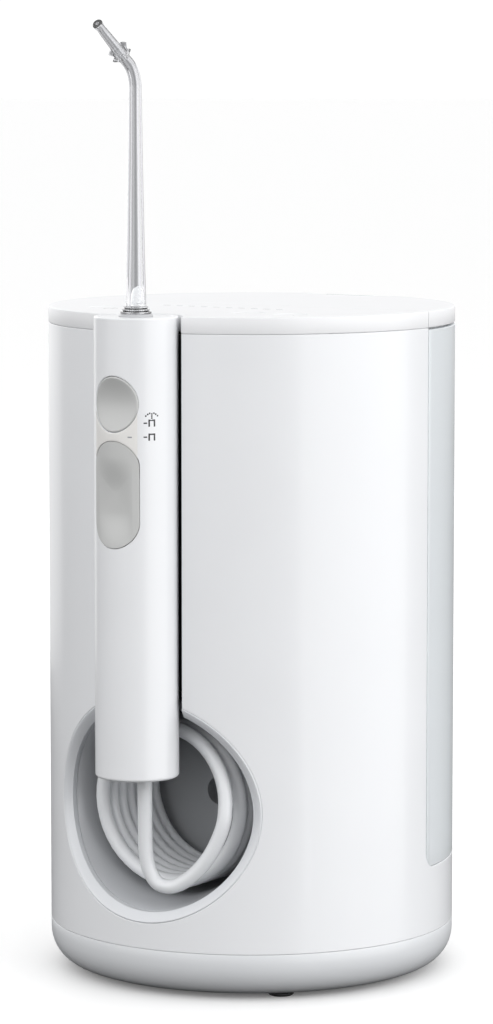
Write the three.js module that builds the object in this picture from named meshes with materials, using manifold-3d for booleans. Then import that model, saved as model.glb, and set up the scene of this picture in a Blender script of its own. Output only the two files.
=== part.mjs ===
// A countertop water flosser: a round housing with a half-round water tank behind, a pump and its
// motor inside, a hose coiled in a round recess, and a slim handle docked in a groove at the front.
// Millimetres, +Z up, the user stands on the -Y side. The axis of the round housing is x = 0, y = 0
// while the pieces are made, and the whole group is moved at the end so that its origin is the
// centre of its footprint.
import * as THREE from "three";
import { mergeVertices } from "three/addons/utils/BufferGeometryUtils.js";
import Module from "manifold-3d";

const wasm = await Module();
wasm.setup();

// ---------------------------------------------------------------- driving dimensions
const GAP = 0.3;

const BODY_R = 64;
const BODY_TOP = 209.7;
const COVER_SEAM = 204.6;
const BASE_SEAM = 15.1;
const UNDERSIDE = 1.3;
const RING_TOP = 36;
const WALL = 2.2;
const BASE_FILLET_R = 9.3;
const BASE_FILLET_H = 10.5;
const TOP_EDGE_R = 1;
const TANK_CORNER_R = 5;

const HANDLE_Y = -65.9;
const HANDLE_R = 12.8;
const HANDLE_WALL = 1.8;
const HANDLE_BOTTOM = 69.2;
const HANDLE_TOP = 209.8;
const GROOVE_R = 14.4;

const CUP_Z = 58.2;
const CUP_RIM_A = 36.6;
const CUP_RIM_B = 35.1;
const CUP_LIP_A = 33.2;
const CUP_LIP_B = 32;
const CUP_LIP_DEPTH = 3.4;
const CUP_MID_Y = -42;
const CUP_MID_R = 29.4;
const CUP_BACK_Y = -14;
const CUP_BACK_R = 27.6;
const CUP_WALL = 2;
const CUP_SOCKET = { x: -3.2, z: 56.3, r: 4.5, wall: 1.5, depth: 8 };

const HOSE_D = 4.5;
const COIL_R = 24.5;
const COIL_Z = 57.9;
const COIL_TURNS = 7.25;
const LEAD_TURNS = 1;
const ELBOW_X = -4;
const ELBOW_Y = -16.95;
const ELBOW_Z = COIL_Z + COIL_R;
const HOSE_EXIT = { x: -0.3, y: -61.3 };

const NOZZLE_FOOT_Z = 201;
const NOZZLE_FOOT_R = 3.6;
const NOZZLE_BEND_Z = 283;
const NOZZLE_TIP_ANGLE = THREE.MathUtils.degToRad(54.7);
const NOZZLE_TIP_LENGTH = 24.75;
const NOZZLE_BEND_R = 9;

const VALVE_Y = 22;
const SEAT_R = 9;
const SPIGOT_R = 6.4;
const SPIGOT_BORE_R = 4.6;
const PUMP_Y = -26;
const PUMP_Z = 156.9;
const MOTOR_X = -24;
const GEAR_MODULE = 1;
const PINION_TEETH = 10;
const CRANK_TEETH = 34;
const CRANK_X = MOTOR_X + (GEAR_MODULE * (PINION_TEETH + CRANK_TEETH)) / 2;
const CRANK_THROW = 6;

const LID_PIVOT = { y: 60.5, z: 207.3 };
const HINGE_PIN_R = 1;
const HINGE_BORE_R = 1.3;
const HINGE_KNUCKLE_R = 2.3;

const TOP_BUTTONS = {
  power_button: { x: -30, y: -35, r: 6.5 },
  minus_button: { x: 21, y: -35, r: 5 },
  plus_button: { x: 36, y: -35, r: 5 },
};
const BUTTON_FLANGE = 1.2;
const LAMP_Y = -17;
const LAMP_LENGTH = 2.8;
const LAMP_WIDTH = 1.2;
const LAMP_SPACING = 4.6;
const LAMP_XS = Array.from({ length: 10 }, (_, i) => (i - 4.5) * LAMP_SPACING);

// ---------------------------------------------------------------- materials
function plastic(color, roughness, extra = {}) {
  return new THREE.MeshStandardMaterial({ color, roughness, metalness: 0, ...extra });
}

function metal(color, roughness) {
  return new THREE.MeshStandardMaterial({ color, roughness, metalness: 1 });
}

const MATERIALS = {
  white: plastic(0xf2f3f6, 0.35),
  greyTrim: plastic(0xb9bcc0, 0.4),
  darkPlastic: plastic(0x55585c, 0.5),
  clearTank: plastic(0xdfe6f2, 0.15, { transparent: true, opacity: 0.55 }),
  clearNozzle: plastic(0xf4f6f8, 0.05, { transparent: true, opacity: 0.4 }),
  hose: plastic(0xf0f1f2, 0.45),
  rubber: plastic(0x1c1d1f, 0.8),
  softSeal: plastic(0xd8d9dc, 0.7),
  steel: metal(0xb8babd, 0.35),
  motorCan: metal(0x9a9c9f, 0.45),
  nylon: plastic(0xe8e6dc, 0.5),
  board: plastic(0x1f5a3a, 0.6),
  lamp: plastic(0x9aa0a6, 0.3),
};

// ---------------------------------------------------------------- solid modelling helpers
function solid(geometry) {
  const plain = geometry.index ? geometry : geometry.clone();
  plain.deleteAttribute("normal");
  plain.deleteAttribute("uv");
  const merged = mergeVertices(plain, 1e-4);
  const corners = merged.index.array;
  const kept = [];
  for (let i = 0; i < corners.length; i += 3) {
    const [a, b, c] = corners.slice(i, i + 3);
    if (a !== b && b !== c && a !== c) kept.push(a, b, c);
  }
  return new wasm.Manifold(
    new wasm.Mesh({
      numProp: 3,
      vertProperties: merged.attributes.position.array,
      triVerts: new Uint32Array(kept),
    }),
  );
}

function geometryOf(body) {
  const { vertProperties, triVerts } = body.getMesh();
  const geometry = new THREE.BufferGeometry();
  geometry.setAttribute("position", new THREE.BufferAttribute(vertProperties, 3));
  geometry.setIndex(new THREE.BufferAttribute(triVerts, 1));
  return geometry;
}

function joined(...bodies) {
  return bodies.reduce((sum, body) => sum.add(body));
}

function cutBy(body, ...tools) {
  return tools.reduce((left, tool) => left.subtract(tool), body);
}

// A solid of revolution about +Z; the profile runs anticlockwise as (radius, height) pairs.
function revolved(profile, segments = 12) {
  const points = profile.map(([r, z]) => new THREE.Vector2(r, z));
  return new THREE.LatheGeometry(points, segments).rotateX(Math.PI / 2);
}

function disc(r, z0, z1, { x = 0, y = 0, segments = 12 } = {}) {
  const profile = [[0, z0], [r, z0], [r, z1], [0, z1]];
  return solid(revolved(profile, segments).translate(x, y, 0));
}

function tube(outer, inner, z0, z1, { x = 0, y = 0, segments = 12 } = {}) {
  const profile = [[inner, z0], [outer, z0], [outer, z1], [inner, z1], [inner, z0]];
  return solid(revolved(profile, segments).translate(x, y, 0));
}

// The same two shapes lying along +X or +Y, placed by the centre line they share.
function discAlongX(r, x0, x1, y, z, segments = 12) {
  const profile = [[0, x0], [r, x0], [r, x1], [0, x1]];
  return solid(revolved(profile, segments).rotateY(Math.PI / 2).translate(0, y, z));
}

function discAlongY(r, y0, y1, x, z, segments = 12) {
  const profile = [[0, -y1], [r, -y1], [r, -y0], [0, -y0]];
  return solid(revolved(profile, segments).rotateX(Math.PI / 2).translate(x, 0, z));
}

function ellipseAlongY(a, b, y0, y1, z, segments = 36) {
  const profile = [[0, -y1], [1, -y1], [1, -y0], [0, -y0]];
  const geometry = revolved(profile, segments).rotateX(Math.PI / 2).scale(a, 1, b);
  return solid(geometry.translate(0, 0, z));
}

function block(x0, x1, y0, y1, z0, z1) {
  const geometry = new THREE.BoxGeometry(x1 - x0, y1 - y0, z1 - z0);
  return solid(geometry.translate((x0 + x1) / 2, (y0 + y1) / 2, (z0 + z1) / 2));
}

// A closed surface through rings of points; a ring of one point closes an end.
function lofted(rings) {
  const positions = [];
  const starts = rings.map((ring) => {
    const start = positions.length / 3;
    ring.forEach((p) => positions.push(p.x, p.y, p.z));
    return start;
  });
  const faces = [];
  for (let i = 0; i + 1 < rings.length; i++) {
    const below = rings[i].length;
    const above = rings[i + 1].length;
    for (let j = 0; j < Math.max(below, above); j++) {
      const a = starts[i] + (j % below);
      const b = starts[i] + ((j + 1) % below);
      const c = starts[i + 1] + (j % above);
      const d = starts[i + 1] + ((j + 1) % above);
      if (below > 1) faces.push(a, b, d);
      if (above > 1) faces.push(a, d, c);
    }
  }
  const geometry = new THREE.BufferGeometry();
  geometry.setAttribute("position", new THREE.Float32BufferAttribute(positions, 3));
  geometry.setIndex(faces);
  return geometry;
}

// A round section swept along a curve, hollow when an inner radius is given.
function swept(curve, outer, { inner = 0, sides = 8, steps = 24 } = {}) {
  const section = new THREE.Shape(ringPoints2(outer, sides));
  if (inner > 0) section.holes.push(new THREE.Path(ringPoints2(inner, sides)));
  return new THREE.ExtrudeGeometry(section, { steps, extrudePath: curve, bevelEnabled: false });
}

function ringPoints2(r, sides) {
  return Array.from({ length: sides }, (_, i) => {
    const angle = (2 * Math.PI * i) / sides;
    return new THREE.Vector2(r * Math.cos(angle), r * Math.sin(angle));
  });
}

class Helix extends THREE.Curve {
  constructor(radius, z0, z1, turns) {
    super();
    Object.assign(this, { radius, z0, z1, turns });
  }

  getPoint(t, target = new THREE.Vector3()) {
    const angle = 2 * Math.PI * this.turns * t;
    const z = THREE.MathUtils.lerp(this.z0, this.z1, t);
    return target.set(this.radius * Math.cos(angle), this.radius * Math.sin(angle), z);
  }
}

function coilSpring(radius, wire, z0, z1, turns) {
  const helix = new Helix(radius, z0 + wire, z1 - wire, turns);
  return swept(helix, wire, { sides: 5, steps: turns * 9 });
}

function gearBlank(teeth, z0, z1, phase) {
  const pitchR = (GEAR_MODULE * teeth) / 2;
  const rootR = pitchR - 1.2 * GEAR_MODULE;
  const tipR = pitchR + 0.8 * GEAR_MODULE;
  const step = (2 * Math.PI) / teeth;
  const corners = [[-0.3, rootR], [-0.13, tipR], [0.13, tipR], [0.3, rootR]];
  const points = [];
  for (let tooth = 0; tooth < teeth; tooth++) {
    for (const [share, r] of corners) {
      const angle = phase + (tooth + share) * step;
      points.push(new THREE.Vector2(r * Math.cos(angle), r * Math.sin(angle)));
    }
  }
  const options = { depth: z1 - z0, bevelEnabled: false };
  return new THREE.ExtrudeGeometry(new THREE.Shape(points), options).translate(0, 0, z0);
}

function onCircle(radius, degreesFromFront) {
  const angle = THREE.MathUtils.degToRad(degreesFromFront - 90);
  return { x: radius * Math.cos(angle), y: radius * Math.sin(angle) };
}

// ---------------------------------------------------------------- assembly
const flosser = new THREE.Group();

function add(name, body, material) {
  const geometry = body instanceof THREE.BufferGeometry ? body : geometryOf(body);
  const mesh = new THREE.Mesh(geometry, material);
  mesh.name = name;
  flosser.add(mesh);
  return mesh;
}

// ---------------------------------------------------------------- housing
const BODY_SIDES = 40;
const FILLET_STEPS = 3;
const INNER_R = BODY_R - WALL;
const FEET_ANGLES = [-42, 42, 138, -138];
const SCREW_ANGLES = [-20, 20, 160, -160];
const SCREW_CIRCLE = 50;
const SCREW_HOLE_R = 1.7;
const SCREW_BOSS_R = 3.6;
const HEAD_HOLE_R = 2.9;
const HEAD_BOSS_R = 4.4;
const FOOT_CIRCLE = 52;
const FOOT_HOLE_R = 1.8;
const CRADLE_WALL = 2;
const INLET_HOLE_R = 4.6;
const INLET_Z = 25;

function bodyDisc(r, z0, z1) {
  return disc(r, z0, z1, { segments: BODY_SIDES });
}

function filletProfile() {
  const points = [];
  for (let i = 0; i <= FILLET_STEPS; i++) {
    const angle = (i / FILLET_STEPS) * (Math.PI / 2);
    const r = BODY_R - BASE_FILLET_R * (1 - Math.sin(angle));
    points.push([r, UNDERSIDE + BASE_FILLET_H * (1 - Math.cos(angle))]);
  }
  return points;
}

function makeBaseTray() {
  const floor = UNDERSIDE + WALL;
  const lip = BASE_SEAM - GAP / 2;
  const outside = [[0, UNDERSIDE], ...filletProfile(), [BODY_R, lip]];
  const inside = [[INNER_R, lip], [INNER_R, 12.2], [54.5, floor], [0, floor]];
  let tray = solid(revolved([...outside, ...inside], BODY_SIDES));
  for (const angle of SCREW_ANGLES) {
    const place = onCircle(SCREW_CIRCLE, angle);
    tray = tray.add(disc(HEAD_BOSS_R, floor - 0.5, 9, place));
    tray = cutBy(tray, disc(HEAD_HOLE_R, 0, 6, place), disc(SCREW_HOLE_R, 0, 10, place));
  }
  for (const angle of FEET_ANGLES) {
    tray = tray.subtract(disc(FOOT_HOLE_R, 0, 5, onCircle(FOOT_CIRCLE, angle)));
  }
  return tray;
}

// Everything behind the housing's front half and above its low ring: where the tank stands.
function tankRegion(inset) {
  const y = inset;
  const z = RING_TOP + inset;
  const corner = TANK_CORNER_R;
  const outline = new THREE.Shape();
  outline.moveTo(y, 260);
  outline.lineTo(y, z + corner);
  outline.absarc(y + corner, z + corner, corner, Math.PI, 1.5 * Math.PI, false);
  outline.lineTo(90, z);
  outline.lineTo(90, 260);
  const options = { depth: 180, bevelEnabled: false, curveSegments: 4 };
  const geometry = new THREE.ExtrudeGeometry(outline, options);
  geometry.translate(0, 0, -90);
  geometry.applyMatrix4(new THREE.Matrix4().set(0, 0, 1, 0, 1, 0, 0, 0, 0, 1, 0, 0, 0, 0, 0, 1));
  return solid(geometry);
}

function grooveTool(r) {
  return disc(r, 60, 230, { y: HANDLE_Y, segments: 36 });
}

function makeFrontShell() {
  const place = { segments: BODY_SIDES };
  let shell = tube(BODY_R, INNER_R, BASE_SEAM + GAP / 2, COVER_SEAM - GAP / 2, place);
  shell = shell.subtract(tankRegion(-GAP / 2));
  const opening = ellipseAlongY(CUP_RIM_A + GAP, CUP_RIM_B + GAP, -80, -20, CUP_Z);
  shell = cutBy(shell, opening, grooveTool(GROOVE_R));
  for (const angle of SCREW_ANGLES) {
    const { x, y } = onCircle(SCREW_CIRCLE, angle);
    const rib = block(SCREW_CIRCLE, INNER_R + 0.5, -1, 1, BASE_SEAM + 1, 21);
    const turned = rib.rotate([0, 0, angle - 90]);
    shell = joined(shell, turned, disc(SCREW_BOSS_R, 9.4, 21, { x, y }));
    shell = shell.subtract(disc(SCREW_HOLE_R, 0, 18, { x, y }));
  }
  return shell.subtract(discAlongY(INLET_HOLE_R, 40, 80, 0, INLET_Z));
}

// The round slab with a softened edge that the top cover and the tank's lid are halves of.
function topSlab() {
  const rim = COVER_SEAM + GAP / 2;
  const edge = BODY_TOP - TOP_EDGE_R;
  const profile = [[0, rim], [BODY_R, rim], [BODY_R, edge], [BODY_R - 0.3, edge + 0.7]];
  profile.push([BODY_R - TOP_EDGE_R, BODY_TOP], [0, BODY_TOP]);
  return solid(revolved(profile, BODY_SIDES));
}

function makeTopCover() {
  const front = block(-80, 80, -80, -GAP / 2, 200, 215);
  const hollow = bodyDisc(INNER_R, 200, 207.2).intersect(block(-80, 80, -80, -3, 200, 215));
  let cover = cutBy(topSlab().intersect(front), hollow, grooveTool(GROOVE_R));
  for (const { x, y, r } of Object.values(TOP_BUTTONS)) {
    cover = cover.subtract(disc(r + GAP, 205, 212, { x, y }));
  }
  for (const x of LAMP_XS) {
    const long = LAMP_LENGTH / 2 + GAP;
    const wide = LAMP_WIDTH / 2 + GAP;
    cover = cover.subtract(block(x - long, x + long, LAMP_Y - wide, LAMP_Y + wide, 205, 212));
  }
  return cover;
}

function makeTopButton({ x, y, r }) {
  const cap = disc(r, 203.2, BODY_TOP - 0.1, { x, y });
  return cap.add(disc(r + BUTTON_FLANGE, 204.3, 206, { x, y }));
}

function makeLampBar() {
  const ends = LAMP_XS[9] + 3;
  let bar = block(-ends, ends, LAMP_Y - 2, LAMP_Y + 2, 204.2, 206.4);
  for (const x of LAMP_XS) {
    const long = LAMP_LENGTH / 2;
    const wide = LAMP_WIDTH / 2;
    bar = bar.add(block(x - long, x + long, LAMP_Y - wide, LAMP_Y + wide, 206, BODY_TOP - 0.1));
  }
  return bar;
}

function makeCradle() {
  const place = { y: HANDLE_Y, segments: 36 };
  const ring = tube(GROOVE_R + CRADLE_WALL, GROOVE_R, 94.2, COVER_SEAM - 0.8, place);
  return ring.intersect(bodyDisc(INNER_R - GAP, 90, 210));
}

// The plate that closes the housing's front half, with the shelf that the tank stands on.
function makeTankBay() {
  const plate = block(-61.3, 61.3, -2.8, -0.8, 22, 204);
  const shelf = bodyDisc(INNER_R - GAP, 33, 35.3).intersect(block(-80, 80, -2.8, 80, 30, 40));
  const socket = disc(SEAT_R + 0.4, 30, 40, { y: VALVE_Y });
  return joined(plate.intersect(bodyDisc(INNER_R - GAP, 20, 210)), shelf).subtract(socket);
}

function makeFoot(angle) {
  const { x, y } = onCircle(FOOT_CIRCLE, angle);
  const profile = [[0, 0], [3.5, 0], [4, 0.4], [4, 1], [1.5, 1], [1.5, 4.6], [0, 4.6]];
  return revolved(profile, 12).translate(x, y, 0);
}

function makeBaseScrew(angle) {
  const { x, y } = onCircle(SCREW_CIRCLE, angle);
  const profile = [[0, 4.2], [0.9, 3.2], [2.1, 3.2], [2.6, 3.7], [2.6, 5.7]];
  profile.push([1.4, 5.7], [1.4, 17], [0, 17]);
  return revolved(profile, 10).translate(x, y, 0);
}

function makeInletGland() {
  const profile = [[2.2, -64.6], [3.6, -64.6], [4.3, -63.9], [4.3, -61.2]];
  profile.push([6.2, -61.2], [6.2, -57.5], [2.2, -57.5], [2.2, -64.6]);
  return revolved(profile, 14).rotateX(Math.PI / 2).translate(0, 0, INLET_Z);
}

add("base_tray", makeBaseTray(), MATERIALS.white);
add("front_shell", makeFrontShell(), MATERIALS.white);
add("top_cover", makeTopCover(), MATERIALS.white);
add("handle_cradle", makeCradle(), MATERIALS.darkPlastic);
add("cradle_magnet", block(-5, 5, -49.1, -45.8, 148, 172), MATERIALS.steel);
add("tank_bay", makeTankBay(), MATERIALS.white);
add("power_inlet_gland", makeInletGland(), MATERIALS.greyTrim);
FEET_ANGLES.forEach((angle, i) => add(`foot_${i + 1}`, makeFoot(angle), MATERIALS.rubber));
SCREW_ANGLES.forEach((angle, i) => {
  add(`base_screw_${i + 1}`, makeBaseScrew(angle), MATERIALS.steel);
});

// ---------------------------------------------------------------- top panel
for (const [name, place] of Object.entries(TOP_BUTTONS)) {
  add(name, makeTopButton(place), MATERIALS.greyTrim);
}
add("level_lamp_bar", makeLampBar(), MATERIALS.lamp);

function makeControlBoard() {
  const plate = bodyDisc(57, 199.6, 201.2).intersect(block(-48, 48, -46, -8, 190, 210));
  const notch = disc(GROOVE_R + 4, 190, 210, { y: HANDLE_Y });
  let board = plate.subtract(notch);
  for (const { x, y } of Object.values(TOP_BUTTONS)) {
    board = board.add(block(x - 3, x + 3, y - 3, y + 3, 201, 202));
  }
  return board.add(block(-8, 8, -30, -22, 201, 202.4));
}

add("control_board", makeControlBoard(), MATERIALS.board);

// ---------------------------------------------------------------- hose recess and hose
function surfaceY(x) {
  return -Math.sqrt(BODY_R * BODY_R - x * x);
}

function cupRing(a, b, depthAt) {
  const sides = 36;
  return Array.from({ length: sides }, (_, i) => {
    const angle = (2 * Math.PI * i) / sides;
    const x = a * Math.cos(angle);
    return new THREE.Vector3(x, depthAt(x), CUP_Z + b * Math.sin(angle));
  });
}

function makeHoseCup() {
  const backOuterY = CUP_BACK_Y + CUP_WALL;
  const midOuterR = CUP_MID_R + CUP_WALL;
  const backOuterR = CUP_BACK_R + CUP_WALL;
  const skirtDepth = CUP_LIP_DEPTH + 1.8;
  const rings = [
    [new THREE.Vector3(0, backOuterY, CUP_Z)],
    cupRing(backOuterR, backOuterR, () => backOuterY),
    cupRing(midOuterR, midOuterR, () => CUP_MID_Y),
    cupRing(CUP_RIM_A, CUP_RIM_B, (x) => surfaceY(x) + skirtDepth),
    cupRing(CUP_RIM_A, CUP_RIM_B, surfaceY),
    cupRing(CUP_LIP_A, CUP_LIP_B, (x) => surfaceY(x) + CUP_LIP_DEPTH),
    cupRing(CUP_MID_R, CUP_MID_R, () => CUP_MID_Y),
    cupRing(CUP_BACK_R, CUP_BACK_R, () => CUP_BACK_Y),
    [new THREE.Vector3(0, CUP_BACK_Y, CUP_Z)],
  ];
  const { x, z, r, wall, depth } = CUP_SOCKET;
  const cup = solid(lofted(rings));
  const boss = discAlongY(r + wall, CUP_BACK_Y + 0.5, CUP_BACK_Y + depth, x, z);
  const hole = discAlongY(r, CUP_BACK_Y - 2, CUP_BACK_Y + depth - wall, x, z);
  const elbowHole = discAlongY(2.3, CUP_BACK_Y - 2, CUP_BACK_Y + 5, ELBOW_X, ELBOW_Z);
  return cutBy(cup.add(boss), hole, elbowHole, grooveTool(GROOVE_R));
}

function makeHoseElbow() {
  const socket = discAlongX(2.5, ELBOW_X - 2, -0.35, ELBOW_Y, ELBOW_Z, 16);
  const stem = discAlongY(1.9, ELBOW_Y, -6, ELBOW_X, ELBOW_Z, 16);
  const barb = discAlongX(1.9, ELBOW_X - 7, ELBOW_X, -8, ELBOW_Z, 16);
  return joined(socket, stem, barb);
}

// Depth of the hose at a given number of turns from the right-hand side of the first turn.
function coilY(turns) {
  return -54.6 + 4.6 * turns + 4.3 * (1 - Math.exp(-turns / 0.14));
}

function coilPoint(turns) {
  const angle = 2 * Math.PI * turns;
  const x = COIL_R * Math.cos(angle);
  return new THREE.Vector3(x, coilY(turns), COIL_Z + COIL_R * Math.sin(angle));
}

const LEAD_DROP = [
  [-0.3, -61.3, 69],
  [-0.3, -61.3, 60],
  [-0.3, -61.2, 52],
  [-0.2, -61, 45],
  [0.7, -60.5, 39.3],
  [3.6, -59.7, 35],
  [9.2, -58.6, 34.8],
  [16, -57.3, 39.6],
  [21.6, -56, 47.6],
];

function leadCurve() {
  const points = LEAD_DROP.map(([x, y, z]) => new THREE.Vector3(x, y, z));
  for (let turns = 0; turns <= LEAD_TURNS; turns += 1 / 12) points.push(coilPoint(turns));
  return new THREE.CatmullRomCurve3(points, false, "centripetal");
}

function makeCoil() {
  const inner = COIL_R - HOSE_D / 2 - 0.1;
  const outer = COIL_R + HOSE_D / 2 + 0.1;
  const front = coilY(LEAD_TURNS) + HOSE_D / 2 + GAP;
  const back = coilY(COIL_TURNS) + HOSE_D / 2;
  const profile = [[inner, -back], [outer, -back], [outer, -front], [inner, -front], [inner, -back]];
  const ring = solid(revolved(profile, 48).rotateX(Math.PI / 2).translate(0, 0, COIL_Z));
  return ring.subtract(block(ELBOW_X - 4, 0, -20.6, -10, ELBOW_Z - 6, ELBOW_Z + 6));
}

add("hose_cup", makeHoseCup(), MATERIALS.greyTrim);
add("hose_elbow", makeHoseElbow(), MATERIALS.darkPlastic);
add("hose_lead", swept(leadCurve(), HOSE_D / 2, { steps: 32 }), MATERIALS.hose);
add("hose_coil", makeCoil(), MATERIALS.hose);

// ---------------------------------------------------------------- tank
const TANK_WALL = 2;
const TANK_FLOOR = 38.5;
const TANK_RIM = 204;
const TANK_INNER_R = BODY_R - TANK_WALL;
const HINGE_LUG_X = 9;
const HINGE_KNUCKLE_X = 15;

function makeTankBody() {
  const outer = bodyDisc(BODY_R, 30, TANK_RIM).intersect(tankRegion(GAP / 2));
  const room = block(-80, 80, TANK_WALL + GAP / 2, 80, TANK_FLOOR, 230);
  const inner = bodyDisc(TANK_INNER_R, TANK_FLOOR, 230).intersect(room);
  const { y, z } = LID_PIVOT;
  const lugBlock = block(-HINGE_LUG_X, HINGE_LUG_X, 58, 80, 196, z);
  const lugRound = discAlongX(HINGE_KNUCKLE_R, -HINGE_LUG_X, HINGE_LUG_X, y, z);
  const lug = joined(lugBlock.intersect(bodyDisc(BODY_R - 0.2, 190, 212)), lugRound);
  const spigot = disc(SPIGOT_R, 29.5, 37, { y: VALVE_Y });
  const bore = disc(SPIGOT_BORE_R, 29, 42, { y: VALVE_Y });
  const spider = block(-5, 5, VALVE_Y - 1, VALVE_Y + 1, 35, 37);
  let tank = joined(outer.subtract(inner), lug, spigot).subtract(bore).add(spider);
  tank = tank.subtract(discAlongX(HINGE_BORE_R, -30, 30, y, z, 16));
  return tank.subtract(disc(1.6, 29, 42, { y: VALVE_Y, segments: 16 }));
}

function makeTankLid() {
  const back = topSlab().intersect(block(-80, 80, GAP / 2, 80, 200, 215));
  const under = bodyDisc(INNER_R - 2, 200, 207).intersect(block(-80, 80, 4, 57, 200, 215));
  const { y, z } = LID_PIVOT;
  const reach = HINGE_KNUCKLE_X + GAP;
  const hingeNotch = block(-reach, reach, y - 3, 80, 200, 215);
  const lugNotch = block(-HINGE_LUG_X - GAP, HINGE_LUG_X + GAP, 57, 80, 200, 215);
  let lid = cutBy(back, under, hingeNotch);
  for (const side of [-1, 1]) {
    const from = side > 0 ? HINGE_LUG_X + GAP : -HINGE_KNUCKLE_X;
    const to = side > 0 ? HINGE_KNUCKLE_X : -HINGE_LUG_X - GAP;
    const arm = block(from, to, y - 5, y, z - HINGE_KNUCKLE_R, z + HINGE_KNUCKLE_R);
    lid = joined(lid, arm, discAlongX(HINGE_KNUCKLE_R, from, to, y, z));
  }
  return cutBy(lid, lugNotch, discAlongX(HINGE_BORE_R, -30, 30, y, z, 16));
}

function makeLidSeal() {
  const y0 = TANK_WALL + GAP / 2 + 0.5;
  const r = TANK_INNER_R - 0.5;
  const outer = bodyDisc(r, 201.8, 204.4).intersect(block(-80, 80, y0, 54, 190, 215));
  const inner = bodyDisc(r - 2, 200, 206).intersect(block(-80, 80, y0 + 2, 52, 190, 215));
  return outer.subtract(inner);
}

function makeHingePin() {
  const half = HINGE_KNUCKLE_X - 0.4;
  const profile = [[0, -half], [HINGE_PIN_R, -half], [HINGE_PIN_R, half], [0, half]];
  const pin = revolved(profile, 16).rotateY(Math.PI / 2);
  return pin.translate(0, LID_PIVOT.y, LID_PIVOT.z);
}

function makeValveSpring() {
  return coilSpring(2.2, 0.3, 32.3, 34.7, 3).translate(0, VALVE_Y, 0);
}

function makePoppet() {
  const profile = [[0, 31.3], [2.9, 31.3], [2.9, 32], [1.2, 32], [1.2, 41.3]];
  profile.push([6.2, 41.3], [6.2, 42.6], [2, 43.4], [0, 43.4]);
  return revolved(profile, 12).translate(0, VALVE_Y, 0);
}

function makeTankSeat() {
  const inner = SEAT_R - 0.8;
  const cup = [[0, 20], [2.2, 20], [2.2, 24], [SEAT_R, 24], [SEAT_R, 35.2], [inner, 35.2]];
  cup.push([inner, 25.6], [1.2, 25.6], [1.2, 30.9], [0, 30.9]);
  const bore = disc(1.2, 19, 25, { y: VALVE_Y, segments: 16 });
  const port = block(-4.5, 4.5, VALVE_Y - 1, VALVE_Y + 1, 24.4, 28);
  return cutBy(solid(revolved(cup, 16).translate(0, VALVE_Y, 0)), bore, port);
}

function makeSeatSeal() {
  const ring = new THREE.TorusGeometry(7.3, 0.55, 6, 16);
  return ring.translate(0, VALVE_Y, 30.6);
}

add("tank_body", makeTankBody(), MATERIALS.clearTank);
add("tank_lid", makeTankLid(), MATERIALS.white);
add("lid_seal", makeLidSeal(), MATERIALS.softSeal);
add("lid_hinge_pin", makeHingePin(), MATERIALS.steel);
add("tank_valve_poppet", makePoppet(), MATERIALS.nylon);
add("tank_valve_spring", makeValveSpring(), MATERIALS.steel);
add("tank_seat", makeTankSeat(), MATERIALS.nylon);
add("tank_seat_seal", makeSeatSeal(), MATERIALS.rubber);

// ---------------------------------------------------------------- pump and motor
const GEAR_Z = 143;
const PISTON_X = 26;
const PISTON_R = 7.2;
const CYLINDER_R = 7.8;
const PORT_X = 40;
const MOTOR_R = 14;

function makeMotor() {
  const place = { x: MOTOR_X, y: PUMP_Y, segments: 20 };
  const boss = disc(4.5, 137, 139.9, place);
  const shaftHole = disc(1.6, 130, 145, place);
  return disc(MOTOR_R, 104, 138, place).add(boss).subtract(shaftHole);
}

function makePinion() {
  const teeth = solid(gearBlank(PINION_TEETH, GEAR_Z, GEAR_Z + 6, 0));
  return teeth.add(disc(1.2, 131, GEAR_Z + 7, { segments: 12 })).translate([MOTOR_X, PUMP_Y, 0]);
}

function makeCrankGear() {
  const halfTooth = Math.PI / CRANK_TEETH;
  const teeth = solid(gearBlank(CRANK_TEETH, GEAR_Z, GEAR_Z + 5, Math.PI + halfTooth));
  const pin = disc(2, GEAR_Z + 4, 155, { y: -CRANK_THROW, segments: 16 });
  const bore = disc(1.8, 140, 150, { segments: 16 });
  return teeth.add(pin).subtract(bore).translate([CRANK_X, PUMP_Y, 0]);
}

function makeCrankAxle() {
  const profile = [[0, 137.6], [3, 137.6], [3, 140], [1.5, 140], [1.5, 149.6], [0, 149.6]];
  return revolved(profile, 16).translate(CRANK_X, PUMP_Y, 0);
}

function makeCrankYoke() {
  const [x, y] = [CRANK_X, PUMP_Y];
  const plate = block(x - 6, x + 6, y - 12, y + 12, 155.4, 158.4);
  const slot = block(x - 2.4, x + 2.4, y - 9, y + 9, 150, 160);
  return plate.subtract(slot).add(discAlongX(1.4, x + 4, PISTON_X + 2, y, PUMP_Z, 16));
}

function makePiston() {
  const r = PISTON_R;
  const profile = [[1.7, 26], [r, 26], [r, 28], [6, 28], [6, 30], [r, 30], [r, 32]];
  profile.push([0, 32], [0, 28.4], [1.7, 28.4], [1.7, 26]);
  return revolved(profile, 16).rotateY(Math.PI / 2).translate(0, PUMP_Y, PUMP_Z);
}

function makePistonSeal() {
  const profile = [[6.3, 28.3], [7.4, 28.3], [7.4, 29.7], [6.3, 29.7], [6.3, 28.3]];
  return revolved(profile, 16).rotateY(Math.PI / 2).translate(0, PUMP_Y, PUMP_Z);
}

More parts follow.
